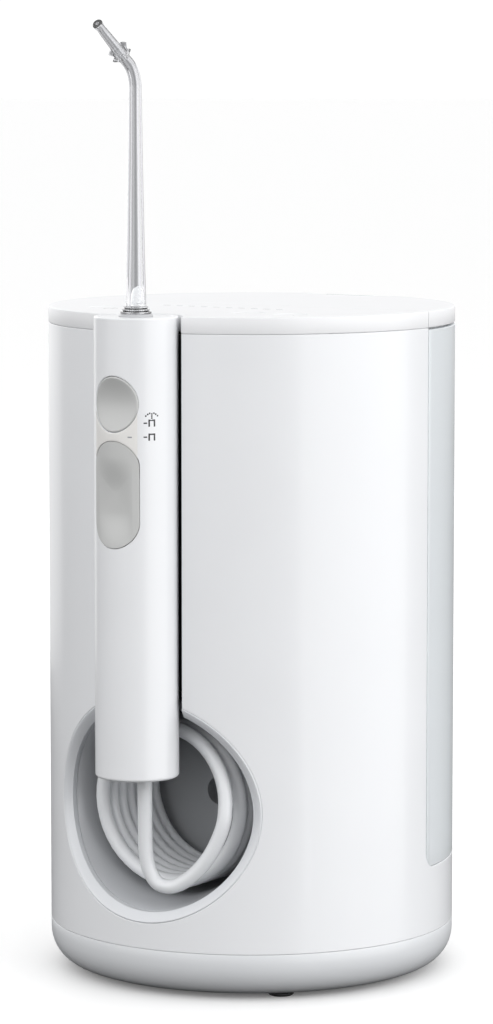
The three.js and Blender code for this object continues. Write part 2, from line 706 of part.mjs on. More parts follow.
function makePumpHousing() {
  const at = { x: PORT_X, y: PUMP_Y, segments: 12 };
  const barrel = discAlongX(10, 18, 46, PUMP_Y, PUMP_Z, 16);
  const ports = joined(disc(4.4, 138, 150, at), disc(4.4, 164, 175.6, at));
  const bore = discAlongX(CYLINDER_R, 10, 42, PUMP_Y, PUMP_Z, 16);
  const ways = joined(disc(1.4, 130, 180, at), disc(2.9, 140, 144.4, at), disc(2.9, 169, 173.4, at));
  const doors = block(PORT_X - 1.6, PORT_X + 1.6, PUMP_Y, PUMP_Y + 9, 141, 143.6);
  return cutBy(barrel.add(ports), bore, ways, doors, doors.translate([0, 0, 29]));
}

function makeUmbrellaValve(z) {
  const profile = [[0, z], [2.4, z], [2.4, z + 0.6], [0.7, z + 1], [0.7, z + 2.6], [0, z + 2.6]];
  return revolved(profile, 8).translate(PORT_X, PUMP_Y, 0);
}

function makePumpBracket() {
  const plate = block(-42, 46, -42, -6, 140.4, 142.4).intersect(bodyDisc(60, 140, 143));
  const flange = block(-42, 46, -7.6, -6, 118, 172);
  const saddle = block(22, 34, PUMP_Y - 6, PUMP_Y + 6, 142, 146.4);
  const stops = [-34, 38].flatMap((x) => [124, 166].map((z) => discAlongY(2.5, -7, -3.1, x, z, 12)));
  const holes = joined(
    disc(2.4, 135, 145, { x: MOTOR_X, y: PUMP_Y }),
    disc(1.8, 135, 145, { x: CRANK_X, y: PUMP_Y, segments: 16 }),
    disc(4.8, 135, 145, { x: PORT_X, y: PUMP_Y }),
  );
  return joined(plate, flange, saddle, ...stops).subtract(holes);
}

add("motor", makeMotor(), MATERIALS.motorCan);
add("motor_pinion", makePinion(), MATERIALS.nylon);
add("crank_gear", makeCrankGear(), MATERIALS.nylon);
add("crank_axle", makeCrankAxle(), MATERIALS.steel);
add("crank_yoke", makeCrankYoke(), MATERIALS.nylon);
add("piston", makePiston(), MATERIALS.nylon);
add("piston_seal", makePistonSeal(), MATERIALS.rubber);
add("pump_housing", makePumpHousing(), MATERIALS.nylon);
add("inlet_valve", makeUmbrellaValve(141), MATERIALS.rubber);
add("outlet_valve", makeUmbrellaValve(170), MATERIALS.rubber);
add("pump_bracket", makePumpBracket(), MATERIALS.greyTrim);

const SUCTION_ROUTE = [
  [0, VALVE_Y, 19.6],
  [0, VALVE_Y, 17.6],
  [2.4, 20, 15],
  [12, 12, 15],
  [30, 0, 16],
  [46, -9, 22],
  [53, -14, 38],
  [54, -17, 66],
  [53, -19, 98],
  [46, -23, 120],
  [PORT_X, PUMP_Y, 132],
  [PORT_X, PUMP_Y, 137.6],
];
const DELIVERY_ROUTE = [
  [PORT_X, PUMP_Y, 176],
  [PORT_X, PUMP_Y, 179],
  [37.5, -26, 185],
  [28, -25, 190],
  [0, -22, 192],
  [-34, -20, 190],
  [-49, -18, 174],
  [-51, -16, 140],
  [-48, -13, 108],
  [-36, -9, 90],
  [-22, -8, 83.4],
  [-12, -8, 82.4],
];

function curveThrough(points) {
  const vectors = points.map(([x, y, z]) => new THREE.Vector3(x, y, z));
  return new THREE.CatmullRomCurve3(vectors, false, "centripetal");
}

const TUBING = { inner: 1.5, sides: 6, steps: 18 };
add("suction_tube", swept(curveThrough(SUCTION_ROUTE), 2.4, TUBING), MATERIALS.softSeal);
add("delivery_tube", swept(curveThrough(DELIVERY_ROUTE), 2.4, TUBING), MATERIALS.softSeal);

function makePowerBoard() {
  const plate = block(-36, 34, -34, 34, 8, 9.6);
  const transformer = block(-30, -10, 6, 24, 9, 20);
  const terminal = block(-24, -12, -28, -20, 9, 16);
  const capacitor = disc(5, 9, 19, { x: -14, y: -8 });
  return joined(plate, transformer, terminal, capacitor);
}

add("power_board", makePowerBoard(), MATERIALS.board);

// ---------------------------------------------------------------- handle
const BORE_R = HANDLE_R - HANDLE_WALL;
const RELEASE_Z = 183.9;
const RELEASE_HALF = { x: 7.6, z: 8.4 };
const SWITCH = { z0: 140.4, z1: 175.2, dishTop: 172.8, halfWidth: 7.8, outer: 13.6 };
const SPOOL_Y = HANDLE_Y - 6.4;
const SEAT_NECK_R = 5.2;

function handleDisc(r, z0, z1, segments = 32) {
  return disc(r, z0, z1, { y: HANDLE_Y, segments });
}

function makeSleeve() {
  const bottom = HANDLE_BOTTOM;
  const profile = [[BORE_R, bottom], [HANDLE_R - 1.2, bottom], [HANDLE_R - 0.35, bottom + 0.35]];
  profile.push([HANDLE_R, bottom + 1.2], [HANDLE_R, HANDLE_TOP - 0.5]);
  profile.push([HANDLE_R - 0.5, HANDLE_TOP], [BORE_R, HANDLE_TOP], [BORE_R, bottom]);
  const sleeve = solid(revolved(profile, 32).translate(0, HANDLE_Y, 0));
  const { x, z } = RELEASE_HALF;
  const releaseWindow = ellipseAlongY(x + GAP, z + GAP, -90, -68, RELEASE_Z, 28);
  const switchWindow = block(-5.2, 5.2, -90, -68, 146, 171.5);
  return cutBy(sleeve, releaseWindow, switchWindow);
}

function makeBottomCap() {
  const cap = handleDisc(BORE_R - GAP, HANDLE_BOTTOM + 0.3, 73);
  return cap.subtract(disc(3.5, 60, 80, { ...HOSE_EXIT, segments: 16 }));
}

function makeHoseGland() {
  const profile = [[1.5, 69.4], [3.2, 69.4], [3.2, 73.4], [4.2, 73.4], [4.2, 75], [1.5, 75], [1.5, 69.4]];
  return revolved(profile, 16).translate(HOSE_EXIT.x, HOSE_EXIT.y, 0);
}

function makeTopCap() {
  const cap = handleDisc(BORE_R - GAP, 206.6, HANDLE_TOP - 0.2);
  return cap.subtract(handleDisc(SEAT_NECK_R + GAP, 200, 212, 24));
}

function makeChassis() {
  const stem = handleDisc(4, 79, 198, 16);
  const flanges = [79, 132, 196.3].map((z) => handleDisc(BORE_R - GAP, z, z + 2.4, 20));
  const chamber = disc(2.7, 134, 174, { y: SPOOL_Y, segments: 16 });
  const web = block(-1, 1, HANDLE_Y - 5, HANDLE_Y - 3, 134, 174);
  const way = handleDisc(1.5, 70, 205, 12);
  const spoolBore = disc(1.6, 137, 180, { y: SPOOL_Y, segments: 16 });
  const stemSlot = block(-1.8, 1.8, HANDLE_Y - 10, SPOOL_Y, 150, 171);
  const body = joined(stem, ...flanges, web, chamber);
  return cutBy(body, way, spoolBore, stemSlot);
}

function makeWaterSwitch() {
  const { z0, z1, halfWidth, outer } = SWITCH;
  const ring = tube(outer, HANDLE_R + GAP, z0, z1, { y: HANDLE_Y, segments: 40 });
  const ends = halfWidth;
  const plate = joined(
    block(-halfWidth, halfWidth, -90, HANDLE_Y, z0 + ends, z1 - 3),
    discAlongY(ends, -90, HANDLE_Y, 0, z0 + ends, 28),
    block(-5.4, 5.4, -90, HANDLE_Y, z1 - 4, z1),
  );
  const pocket = block(-4.9, 4.9, -79.6, -77.4, 150.4, 166.6);
  const stem = block(-1.4, 1.4, -78, HANDLE_Y - 8, 154, 158);
  return joined(ring.intersect(plate), pocket, stem).subtract(switchDish());
}

function switchDish() {
  const profile = [[0, -30], [24, -30], [24, 30], [0, 30]];
  const roll = revolved(profile, 48).rotateY(Math.PI / 2);
  const centre = (SWITCH.z0 + SWITCH.dishTop) / 2;
  return solid(roll.scale(1, 1, 0.9).translate(0, -102.3, centre)).intersect(
    block(-4.4, 4.4, -90, -60, 148, 168),
  );
}

function makeValveSpool() {
  const y = SPOOL_Y;
  const rod = disc(1.25, 140, 164, { y, segments: 12 });
  return rod.subtract(block(-2, 2, y - 2, y - 0.3, 153.6, 158.4));
}

function makeReleaseButton() {
  const { x, z } = RELEASE_HALF;
  const cap = ellipseAlongY(x, z, -90, -71.6, RELEASE_Z, 28).intersect(
    handleDisc(HANDLE_R, 170, 198),
  );
  const flange = ellipseAlongY(x + 1.3, z + 1.3, -90, -71.6, RELEASE_Z, 28).intersect(
    handleDisc(BORE_R - GAP, 170, 198),
  );
  const ball = new THREE.SphereGeometry(16, 24, 16).translate(0, -93.3, RELEASE_Z);
  const springPocket = discAlongY(3.2, -75.8, -70, 0, RELEASE_Z, 16);
  return cutBy(cap.add(flange), solid(ball), springPocket);
}

function makeReleaseSpring() {
  const spring = coilSpring(2.2, 0.35, 70.3, 75.5, 4);
  return spring.rotateX(Math.PI / 2).translate(0, 0, RELEASE_Z);
}

function makeNozzleSeat() {
  const profile = [[3.95, 200], [8, 200], [8, 206.2], [SEAT_NECK_R, 206.2]];
  profile.push([SEAT_NECK_R, 210.4], [4.3, 210.6], [3.95, 210.6], [3.95, 200]);
  const seat = solid(revolved(profile, 16));
  const groove = tube(4.9, 3.8, 202, 203.6, { segments: 16 });
  return seat.subtract(groove).translate([0, HANDLE_Y, 0]);
}

function makeNozzleSeal() {
  const profile = [[3.85, 202.3], [4.6, 202.3], [4.6, 203.3], [3.85, 203.3], [3.85, 202.3]];
  return revolved(profile, 16).translate(0, HANDLE_Y, 0);
}

// Centre line of the nozzle: straight up, round the bend, then along the angled tip to the front.
function nozzleFrame(distance) {
  const half = NOZZLE_BEND_R * Math.tan(NOZZLE_TIP_ANGLE / 2);
  const straight = NOZZLE_BEND_Z - half;
  const arc = NOZZLE_BEND_R * NOZZLE_TIP_ANGLE;
  if (distance <= straight) return { y: 0, z: distance, tilt: 0 };
  if (distance <= straight + arc) {
    const tilt = (distance - straight) / NOZZLE_BEND_R;
    const y = -NOZZLE_BEND_R * (1 - Math.cos(tilt));
    return { y, z: straight + NOZZLE_BEND_R * Math.sin(tilt), tilt };
  }
  const along = distance - straight - arc + half;
  const tilt = NOZZLE_TIP_ANGLE;
  return { y: -along * Math.sin(tilt), z: NOZZLE_BEND_Z + along * Math.cos(tilt), tilt };
}

function nozzleRing(distance, r, sides = 12) {
  const { y, z, tilt } = nozzleFrame(distance);
  return Array.from({ length: sides }, (_, i) => {
    const angle = (2 * Math.PI * i) / sides;
    const across = r * Math.sin(angle);
    const outY = y + across * Math.cos(tilt);
    return new THREE.Vector3(r * Math.cos(angle), HANDLE_Y + outY, z + across * Math.sin(tilt));
  });
}

function makeNozzle() {
  const half = NOZZLE_BEND_R * Math.tan(NOZZLE_TIP_ANGLE / 2);
  const bendStart = NOZZLE_BEND_Z - half;
  const bendEnd = bendStart + NOZZLE_BEND_R * NOZZLE_TIP_ANGLE;
  const end = bendEnd + NOZZLE_TIP_LENGTH - half;
  const bend = [1, 2, 3, 4].map((i) => [bendStart + ((bendEnd - bendStart) * i) / 5, 1.9]);
  const outside = [[NOZZLE_FOOT_Z, NOZZLE_FOOT_R], [212.6, NOZZLE_FOOT_R], [213.4, 3.1]];
  outside.push([250, 2.3], [bendStart, 1.95], ...bend);
  outside.push([bendEnd, 1.85], [bendEnd + 5.6, 1.8], [bendEnd + 6, 2.8], [bendEnd + 7.4, 2.8]);
  outside.push([bendEnd + 7.8, 1.5], [end - 2.6, 1.5], [end - 2.3, 1.85], [end, 1.85]);
  const inside = [[end, 0.6], [bendEnd, 0.9], ...bend.reverse().map(([d]) => [d, 0.9])];
  inside.push([bendStart, 0.95], [213, 1.8], [NOZZLE_FOOT_Z, 2.2]);
  inside.push([NOZZLE_FOOT_Z, NOZZLE_FOOT_R]);
  return lofted([...outside, ...inside].map(([distance, r]) => nozzleRing(distance, r)));
}

add("handle_sleeve", makeSleeve(), MATERIALS.white);
add("handle_bottom_cap", makeBottomCap(), MATERIALS.white);
add("handle_top_cap", makeTopCap(), MATERIALS.white);
add("handle_chassis", makeChassis(), MATERIALS.nylon);
add("handle_steel_plate", block(-4, 4, -57.8, -56.7, 148, 172), MATERIALS.steel);
add("hose_gland", makeHoseGland(), MATERIALS.rubber);
add("water_switch", makeWaterSwitch(), MATERIALS.greyTrim);
add("valve_spool", makeValveSpool(), MATERIALS.nylon);
add("nozzle_release_button", makeReleaseButton(), MATERIALS.greyTrim);
add("release_spring", makeReleaseSpring(), MATERIALS.steel);
add("nozzle_seat", makeNozzleSeat(), MATERIALS.greyTrim);
add("nozzle_seal", makeNozzleSeal(), MATERIALS.rubber);
add("nozzle", makeNozzle(), MATERIALS.clearNozzle);

// ---------------------------------------------------------------- origin
// The group's origin is the centre of the footprint, on the surface that the feet stand on. The
// free hose is left out of the footprint, which it doesn't widen.
const footprint = new THREE.Box3();
for (const mesh of flosser.children) {
  if (!mesh.name.startsWith("hose_lead")) footprint.expandByObject(mesh);
}
const middle = footprint.getCenter(new THREE.Vector3());
flosser.position.set(-middle.x, -middle.y, -footprint.min.z);

export default flosser;
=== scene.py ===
"""Looks of a countertop water flosser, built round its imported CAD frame.

Shapes are worked out in millimetres with x = 0, y = 0 on the axis of the round housing and z = 0 on
the counter; put() turns such a point into the frame's metres.
"""

import math

import bmesh
import bpy
import numpy as np
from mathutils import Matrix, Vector, geometry


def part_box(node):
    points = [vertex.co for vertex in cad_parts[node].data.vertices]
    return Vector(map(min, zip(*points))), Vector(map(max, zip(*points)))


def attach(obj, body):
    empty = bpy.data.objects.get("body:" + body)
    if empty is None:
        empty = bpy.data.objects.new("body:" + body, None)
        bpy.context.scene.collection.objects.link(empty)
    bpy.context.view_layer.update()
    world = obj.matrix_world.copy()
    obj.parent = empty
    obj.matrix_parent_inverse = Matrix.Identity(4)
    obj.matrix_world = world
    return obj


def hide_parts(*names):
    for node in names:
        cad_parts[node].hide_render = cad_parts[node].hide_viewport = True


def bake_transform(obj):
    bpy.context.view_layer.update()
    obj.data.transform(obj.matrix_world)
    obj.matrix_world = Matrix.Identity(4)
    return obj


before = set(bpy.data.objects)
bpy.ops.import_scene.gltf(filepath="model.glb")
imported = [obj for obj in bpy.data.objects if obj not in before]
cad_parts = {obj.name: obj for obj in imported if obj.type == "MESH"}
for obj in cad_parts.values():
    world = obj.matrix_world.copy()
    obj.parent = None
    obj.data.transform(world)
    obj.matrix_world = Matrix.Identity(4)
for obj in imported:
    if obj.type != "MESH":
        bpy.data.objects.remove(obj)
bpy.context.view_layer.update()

# ------------------------------------------------------------------ driving dimensions, mm
MM = 0.001


def size_mm(node):
    """A CAD node's (low, high) along x, y and z."""
    low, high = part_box(node)
    return [(low[i] / MM, high[i] / MM) for i in range(3)]


TRAY = size_mm("base_tray")
BODY_R = (TRAY[0][1] - TRAY[0][0]) / 2
AXIS_Y = (TRAY[1][0] + TRAY[1][1]) / 2
UNDERSIDE = TRAY[2][0]
BASE_SEAM = TRAY[2][1] + 0.15
COVER = size_mm("top_cover")
COVER_SEAM = COVER[2][0] - 0.15
BODY_TOP = COVER[2][1]
SLEEVE = size_mm("handle_sleeve")
HANDLE_R = (SLEEVE[0][1] - SLEEVE[0][0]) / 2
HANDLE_Y = (SLEEVE[1][0] + SLEEVE[1][1]) / 2 - AXIS_Y
HANDLE_BOTTOM, HANDLE_TOP = SLEEVE[2]
BORE_R = HANDLE_R - 1.8
RING_TOP = 36.0
TANK_CORNER = 5.0
WALL = 2.2
GROOVE_R = 14.4
HAIRLINE = 0.07
LID_GAP = 0.12
HOSE_EXIT_X = -0.3
HOSE_EXIT_Y = -61.3

CUP = size_mm("hose_cup")
CUP_RIM_A = CUP[0][1]
CUP_Z = 58.2
CUP_RIM_B = CUP_Z - CUP[2][0]
CUP_BACK_Y = -14.0


def put(x, y, z):
    return Vector((x * MM, (y + AXIS_Y) * MM, z * MM))


def plan_centre(node):
    """The middle of a CAD node's box, seen from above."""
    (x0, x1), (y0, y1), _ = size_mm(node)
    return (x0 + x1) / 2, (y0 + y1) / 2 - AXIS_Y


# ------------------------------------------------------------------ materials
def nodes_of(name):
    material = bpy.data.materials.new(name)
    material.use_nodes = True
    tree = material.node_tree
    return material, tree, tree.nodes["Principled BSDF"]


def add_node(tree, kind, **values):
    node = tree.nodes.new(kind)
    for key, value in values.items():
        if hasattr(node, key):
            setattr(node, key, value)
        else:
            node.inputs[key].default_value = value
    return node


def set_inputs(node, **values):
    """Sets a node's inputs by name, with _ for a space."""
    for key, value in values.items():
        node.inputs[key.replace("_", " ")].default_value = value


def grain(tree, shader, scale, height, low, high):
    """Fine moulded texture: a height for the bump and a slow drift of the roughness."""
    where = add_node(tree, "ShaderNodeTexCoord")
    fine = add_node(tree, "ShaderNodeTexNoise", Scale=scale, Detail=3.0)
    slow = add_node(tree, "ShaderNodeTexNoise", Scale=scale / 60, Detail=2.0)
    tree.links.new(where.outputs["Object"], fine.inputs["Vector"])
    tree.links.new(where.outputs["Object"], slow.inputs["Vector"])
    bump = add_node(tree, "ShaderNodeBump", Distance=height, Strength=0.25)
    tree.links.new(fine.outputs["Fac"], bump.inputs["Height"])
    tree.links.new(bump.outputs["Normal"], shader.inputs["Normal"])
    spread = add_node(tree, "ShaderNodeMapRange")
    set_inputs(spread, To_Min=low, To_Max=high)
    tree.links.new(slow.outputs["Fac"], spread.inputs["Value"])
    tree.links.new(spread.outputs["Result"], shader.inputs["Roughness"])
    return where, slow


def colour_ramp(tree, factor, stops):
    """Colours that follow a socket; stops are (place, colour) from low to high."""
    ramp = add_node(tree, "ShaderNodeValToRGB")
    elements = ramp.color_ramp.elements
    for element, (place, colour) in zip(elements, (stops[0], stops[-1])):
        element.position = place
        element.color = (*colour, 1)
    for place, colour in stops[1:-1]:
        elements.new(place).color = (*colour, 1)
    tree.links.new(factor, ramp.inputs["Fac"])
    return ramp.outputs["Color"]


def tint(tree, shader, slow, colour_a, colour_b):
    """A very slight colour drift between two nearby colours."""
    colour = colour_ramp(tree, slow.outputs["Fac"], [(0.35, colour_a), (0.65, colour_b)])
    tree.links.new(colour, shader.inputs["Base Color"])


def moulded(name, colour, rough=(0.3, 0.36), scale=1800, height=0.00002, coat=0.0, **sockets):
    material, tree, shader = nodes_of(name)
    _, slow = grain(tree, shader, scale, height, *rough)
    darker = tuple(c * 0.985 for c in colour)
    tint(tree, shader, slow, darker, colour)
    set_inputs(shader, Coat_Weight=coat, Coat_Roughness=0.08, **sockets)
    return material


WHITE_PLASTIC = moulded("white_plastic", (0.83, 0.84, 0.86), (0.26, 0.32), coat=0.15)
COVER_PLASTIC = moulded("cover_plastic", (0.83, 0.835, 0.85), (0.32, 0.38))
BASE_PLASTIC = moulded("base_plastic", (0.7, 0.715, 0.735))
KEY_PLASTIC = moulded("key_plastic", (0.55, 0.555, 0.55), (0.36, 0.42))
TRIM_PLASTIC = moulded("trim_plastic", (0.5, 0.505, 0.52), (0.3, 0.38))
DARK_PLASTIC = moulded("dark_plastic", (0.035, 0.036, 0.04), (0.45, 0.55))
HOSE_PLASTIC = moulded("hose_plastic", (0.78, 0.795, 0.815), (0.34, 0.42), scale=900, coat=0.1)
RUBBER = moulded("rubber", (0.012, 0.012, 0.013), (0.6, 0.75), scale=2500, height=0.00004)
SILICONE = moulded("silicone", (0.7, 0.71, 0.72), (0.4, 0.5), Transmission_Weight=0.3)
NYLON = moulded("nylon", (0.72, 0.7, 0.64), (0.42, 0.5))
STEEL = moulded("steel", (0.55, 0.56, 0.57), (0.28, 0.4), scale=3000, Metallic=1.0)
MOTOR_CAN = moulded("motor_can", (0.4, 0.41, 0.42), (0.35, 0.5), scale=2500, Metallic=1.0)
BOARD_RESIN = moulded("board_resin", (0.02, 0.12, 0.06), (0.35, 0.5), scale=1200)
LENS_PLASTIC = moulded("lens_plastic", (0.3, 0.31, 0.33), (0.2, 0.28))
SIGN_INK = moulded("sign_ink", (0.45, 0.455, 0.46), (0.4, 0.5))
MARK_INK = moulded("mark_ink", (0.03, 0.03, 0.033), (0.4, 0.5))
WARM_PLASTIC = moulded("warm_plastic", (0.8, 0.79, 0.77), (0.3, 0.36))
BEZEL_PLASTIC = moulded("bezel_plastic", (0.71, 0.725, 0.75), (0.28, 0.34))


def cup_plastic_painted_shade():
    """Satin grey with painted shade: its colour darkens towards the back of the recess, standing in for
    the shade that falls there.
    """
    material, tree, shader = nodes_of("cup_plastic_painted_shade")
    where, _ = grain(tree, shader, 1600, 0.00002, 0.26, 0.34)
    split = add_node(tree, "ShaderNodeSeparateXYZ")
    tree.links.new(where.outputs["Object"], split.inputs["Vector"])
    depth = add_node(tree, "ShaderNodeMapRange")
    set_inputs(depth, From_Min=put(0, -60, 0).y, From_Max=put(0, CUP_BACK_Y, 0).y)
    tree.links.new(split.outputs["Y"], depth.inputs["Value"])
    # painted shade: the grey darkens with depth into the recess, where shade falls
    stops = [(0, (0.6, 0.615, 0.64)), (0.2, (0.5, 0.51, 0.53))]
    stops += [(0.42, (0.33, 0.34, 0.355)), (1, (0.35, 0.36, 0.375))]
    colour = colour_ramp(tree, depth.outputs["Result"], stops)
    tree.links.new(colour, shader.inputs["Base Color"])
    return material


def tank_plastic():
    """Frosted plastic that lets a little light through."""
    material, tree, shader = nodes_of("tank_plastic")
    _, slow = grain(tree, shader, 1500, 0.00002, 0.22, 0.3)
    tint(tree, shader, slow, (0.92, 0.955, 0.98), (0.925, 0.96, 0.985))
    set_inputs(shader, Transmission_Weight=0.3, IOR=1.3)
    return material


def clear_plastic():
    """Clear plastic; the faint glow keeps its end, where light is trapped, from going black."""
    material, tree, shader = nodes_of("clear_plastic")
    grain(tree, shader, 700, 0.00001, 0.02, 0.05)
    set_inputs(shader, Base_Color=(0.97, 0.975, 0.98, 1), Transmission_Weight=1.0, IOR=1.49)
    set_inputs(shader, Emission_Color=(1, 1, 1, 1), Emission_Strength=0.012)
    return material


CLEAR_PLASTIC = clear_plastic()


# ------------------------------------------------------------------ mesh helpers
def mesh_object(name, points, faces, material, smooth=35):
    """An object from millimetre points; edges sharper than the given angle stay sharp."""
    mesh = bpy.data.meshes.new(name)
    mesh.from_pydata([put(*p) for p in points], [], faces)
    work = bmesh.new()
    work.from_mesh(mesh)
    bmesh.ops.remove_doubles(work, verts=work.verts, dist=0.004 * MM)
    bmesh.ops.dissolve_degenerate(work, edges=work.edges, dist=0.001 * MM)
    bmesh.ops.recalc_face_normals(work, faces=work.faces)
    work.to_mesh(mesh)
    work.free()
    mesh.materials.append(material)
    obj = bpy.data.objects.new(name, mesh)
    bpy.context.scene.collection.objects.link(obj)
    resharpen(obj, smooth)
    return obj


def resharpen(obj, angle=35):
    obj.data.shade_smooth()
    obj.data.set_sharp_from_angle(angle=math.radians(angle))


def true_normals(obj, surface):
    """Gives the vertices on a known surface its exact normals; surface(p) returns one, or None."""
    mesh = obj.data
    exact = []
    for vertex in mesh.vertices:
        x, y, z = vertex.co / MM
        normal = surface(x, y - AXIS_Y, z)
        exact.append(normal if normal else (0, 0, 0))
    mesh.normals_split_custom_set_from_vertices(exact)


def on_cylinder(radius, centre_y):
    """The normals of an upright cylinder, for true_normals()."""

    def normal(x, y, z):
        away = math.hypot(x, y - centre_y)
        if abs(away - radius) > 0.002:
            return None
        return (x / away, (y - centre_y) / away, 0)

    return normal


def full_turn(count, shift=0.0):
    """Evenly spaced angles round a circle."""
    return [2 * math.pi * (i + shift) / count for i in range(count)]


def arc(centre, radius, start, end, steps):
    """Points round part of a circle in a plane, angles in degrees."""
    angles = np.radians(np.linspace(start, end, steps + 1))
    return [(centre[0] + radius * math.cos(a), centre[1] + radius * math.sin(a)) for a in angles]


def line(start, end, spacing):
    steps = max(1, round(math.dist(start, end) / spacing))
    share = np.linspace(0, 1, steps + 1)
    return [(start[0] + (end[0] - start[0]) * s, start[1] + (end[1] - start[1]) * s) for s in share]


def joined(*runs):
    """One run of points from several that follow each other."""
    points = []
    for run in runs:
        for p in run:
            if not points or math.dist(points[-1], p) > 1e-4:
                points.append(tuple(p))
    return points


def closed(points):
    return points[:-1] if math.dist(points[0], points[-1]) < 1e-4 else points


def inward(points, is_closed):
    """For each point of an outline with its material on the left, the mitred way into it."""
    p = np.array(points, float)
    ahead = np.roll(p, -1, 0) - p
    if not is_closed:
        ahead[-1] = ahead[-2]
    ahead /= np.linalg.norm(ahead, axis=1)[:, None]
    left = np.stack([-ahead[:, 1], ahead[:, 0]], 1)
    before = np.roll(left, 1, 0)
    if not is_closed:
        before[0] = left[0]
        left[-1] = before[-1]
    both = left + before
    return both / np.maximum(1 + (left * before).sum(1), 0.3)[:, None]


def inside(where, edges):
    """Which points lie in the region that the edges bound, by crossings."""
    hits = np.zeros(len(where), int)
    for (x0, y0), (x1, y1) in edges:
        if y0 == y1:
            continue
        between = (where[:, 1] > min(y0, y1)) & (where[:, 1] <= max(y0, y1))
        across = x0 + (where[:, 1] - y0) * (x1 - x0) / (y1 - y0)
        hits += between & (across > where[:, 0])
    return hits % 2 == 1


def panel(name, chains, place, wall, grid, material, steps=3, seams=()):
    """A plate or shell of even thickness with rounded edges.

    chains are outlines in a plane with the material on their left, as (points, closed, rounding).
    place(u, v, depth) puts a point of the plane, that far under the visible surface, into the
    object. grid is the spacing of points. seams join open chains where the panel meets itself.
    """
    rows = []
    flat = []
    edges = []
    for points, is_closed, rounding in chains:
        into = inward(points, is_closed)
        start = len(flat)
        base = np.array(points, float)
        flat.extend(map(tuple, base + into * rounding))
        count = len(points)
        last = count if is_closed else count - 1
        edges.extend((start + i, start + (i + 1) % count) for i in range(last))
        rows.append((base, into, rounding, is_closed))
    for a, b in seams:
        start = len(flat)
        run = line(a, b, grid[1])
        flat.extend(run)
        edges.extend((start + i, start + i + 1) for i in range(len(run) - 1))
    bounds = [(flat[a], flat[b]) for a, b in edges]
    spots = np.array(grid_points(flat, bounds, grid)).reshape(-1, 2)
    every = [Vector(p) for p in flat] + [Vector(p) for p in spots]
    corners, _, faces, *_ = geometry.delaunay_2d_cdt(every, edges, [], 0, 1e-5)
    corners = np.array([tuple(c) for c in corners])
    middles = np.array([corners[list(f)].mean(0) for f in faces])
    kept = [f for f, good in zip(faces, inside(middles, bounds)) if good]
    points = [place(u, v, 0) for u, v in corners]
    under = len(points)
    points += [place(u, v, wall) for u, v in corners]
    solid = [tuple(f) for f in kept] + [tuple(under + i for i in reversed(f)) for f in kept]
    for base, into, rounding, is_closed in rows:
        add_rim(points, solid, place, base, into, rounding, wall, steps, is_closed)
    return mesh_object(name, points, solid, material)


def grid_points(flat, bounds, grid):
    """Points on a grid inside the bounds, none of them close to an outline's own points."""
    low, high = np.min(flat, 0), np.max(flat, 0)
    us = np.arange(low[0] + grid[0] / 2, high[0], grid[0])
    vs = np.arange(low[1] + grid[1] / 2, high[1], grid[1])
    spots = np.stack(np.meshgrid(us, vs), -1).reshape(-1, 2)
    spots = spots[inside(spots, bounds)]
    near = np.zeros(len(spots), bool)
    for p in np.array(flat):
        near |= np.abs(spots - p).max(1) < 0.45 * min(grid)
    return spots[~near]


def add_rim(points, solid, place, base, into, rounding, wall, steps, is_closed):
    """Adds a panel's rounded edge along one outline to its points and faces."""
    levels = []
    for i in range(steps + 1):
        angle = math.pi / 2 * i / steps
        levels.append((rounding * (1 - math.sin(angle)), rounding * (1 - math.cos(angle))))
    levels += [(shift, wall - depth) for shift, depth in reversed(levels)]
    count = len(base)
    first = len(points)
    for shift, depth in levels:
        points += [place(u, v, depth) for u, v in base + into * shift]
    last = count if is_closed else count - 1
    for level in range(len(levels) - 1):
        a = first + level * count
        b = a + count
        for i in range(last):
            j = (i + 1) % count
            solid.append((a + i, b + i, b + j, a + j))


def around(radius, centre_y):
    """place() for a panel wrapped on an upright cylinder, u measured round it from the front."""

    def place(u, v, depth):
        angle = u / radius
        r = radius - depth
        return (r * math.sin(angle), centre_y - r * math.cos(angle), v)

    return place


def level(top):
    """place() for a flat panel whose visible face looks up."""
    return lambda u, v, depth: (u, v, top - depth)


def revolve(name, profile, material, centre=(0, 0), sides=96, turn=None):
    """A solid of revolution about an upright axis; profile is (radius, height) pairs."""
    points = []
    faces = []
    rows = []
    for r, z in profile:
        if r < 1e-6:
            rows.append([len(points)] * sides)
            points.append((0, 0, z))
            continue
        rows.append(list(range(len(points), len(points) + sides)))
        points += [(r * math.cos(a), r * math.sin(a), z) for a in full_turn(sides)]
    for low, high in zip(rows, rows[1:]):
        for i in range(sides):
            j = (i + 1) % sides
            face = tuple(dict.fromkeys((low[i], low[j], high[j], high[i])))
            if len(face) > 2:
                faces.append(face)
    moved = [turn(*p) if turn else (p[0] + centre[0], p[1] + centre[1], p[2]) for p in points]
    return mesh_object(name, moved, faces, material)


def rounded(profile, radius, steps=4):
    """The profile with each of its corners rounded, apart from its two ends."""
    out = [profile[0]]
    for before, corner, after in zip(profile, profile[1:], profile[2:]):
        here = Vector(corner)
        back = Vector(before) - here
        on = Vector(after) - here
        reach = min(radius, back.length * 0.48, on.length * 0.48)
        a = here + back.normalized() * reach
        b = here + on.normalized() * reach
        for t in np.arange(steps + 1) / steps:
            out.append(tuple(a * (1 - t) ** 2 + here * 2 * t * (1 - t) + b * t * t))
    return [*out, profile[-1]]


def rod(radius, low, high):
    """The profile of a plain cylinder."""
    return [(0, low), (radius, low), (radius, high), (0, high)]


def along_x(y, z):
    """turn() for revolve(): lays the axis along +X at that height and depth."""
    return lambda a, b, c: (c, y + a, z + b)


def along_y(x, z):
    """turn() for revolve(): lays the axis along -Y, so that a profile's height is -y."""
    return lambda a, b, c: (x + a, -c, z + b)


def along_back(x, z):
    """turn() for revolve(): lays the axis along +Y."""
    return lambda a, b, c: (x + a, c, z + b)


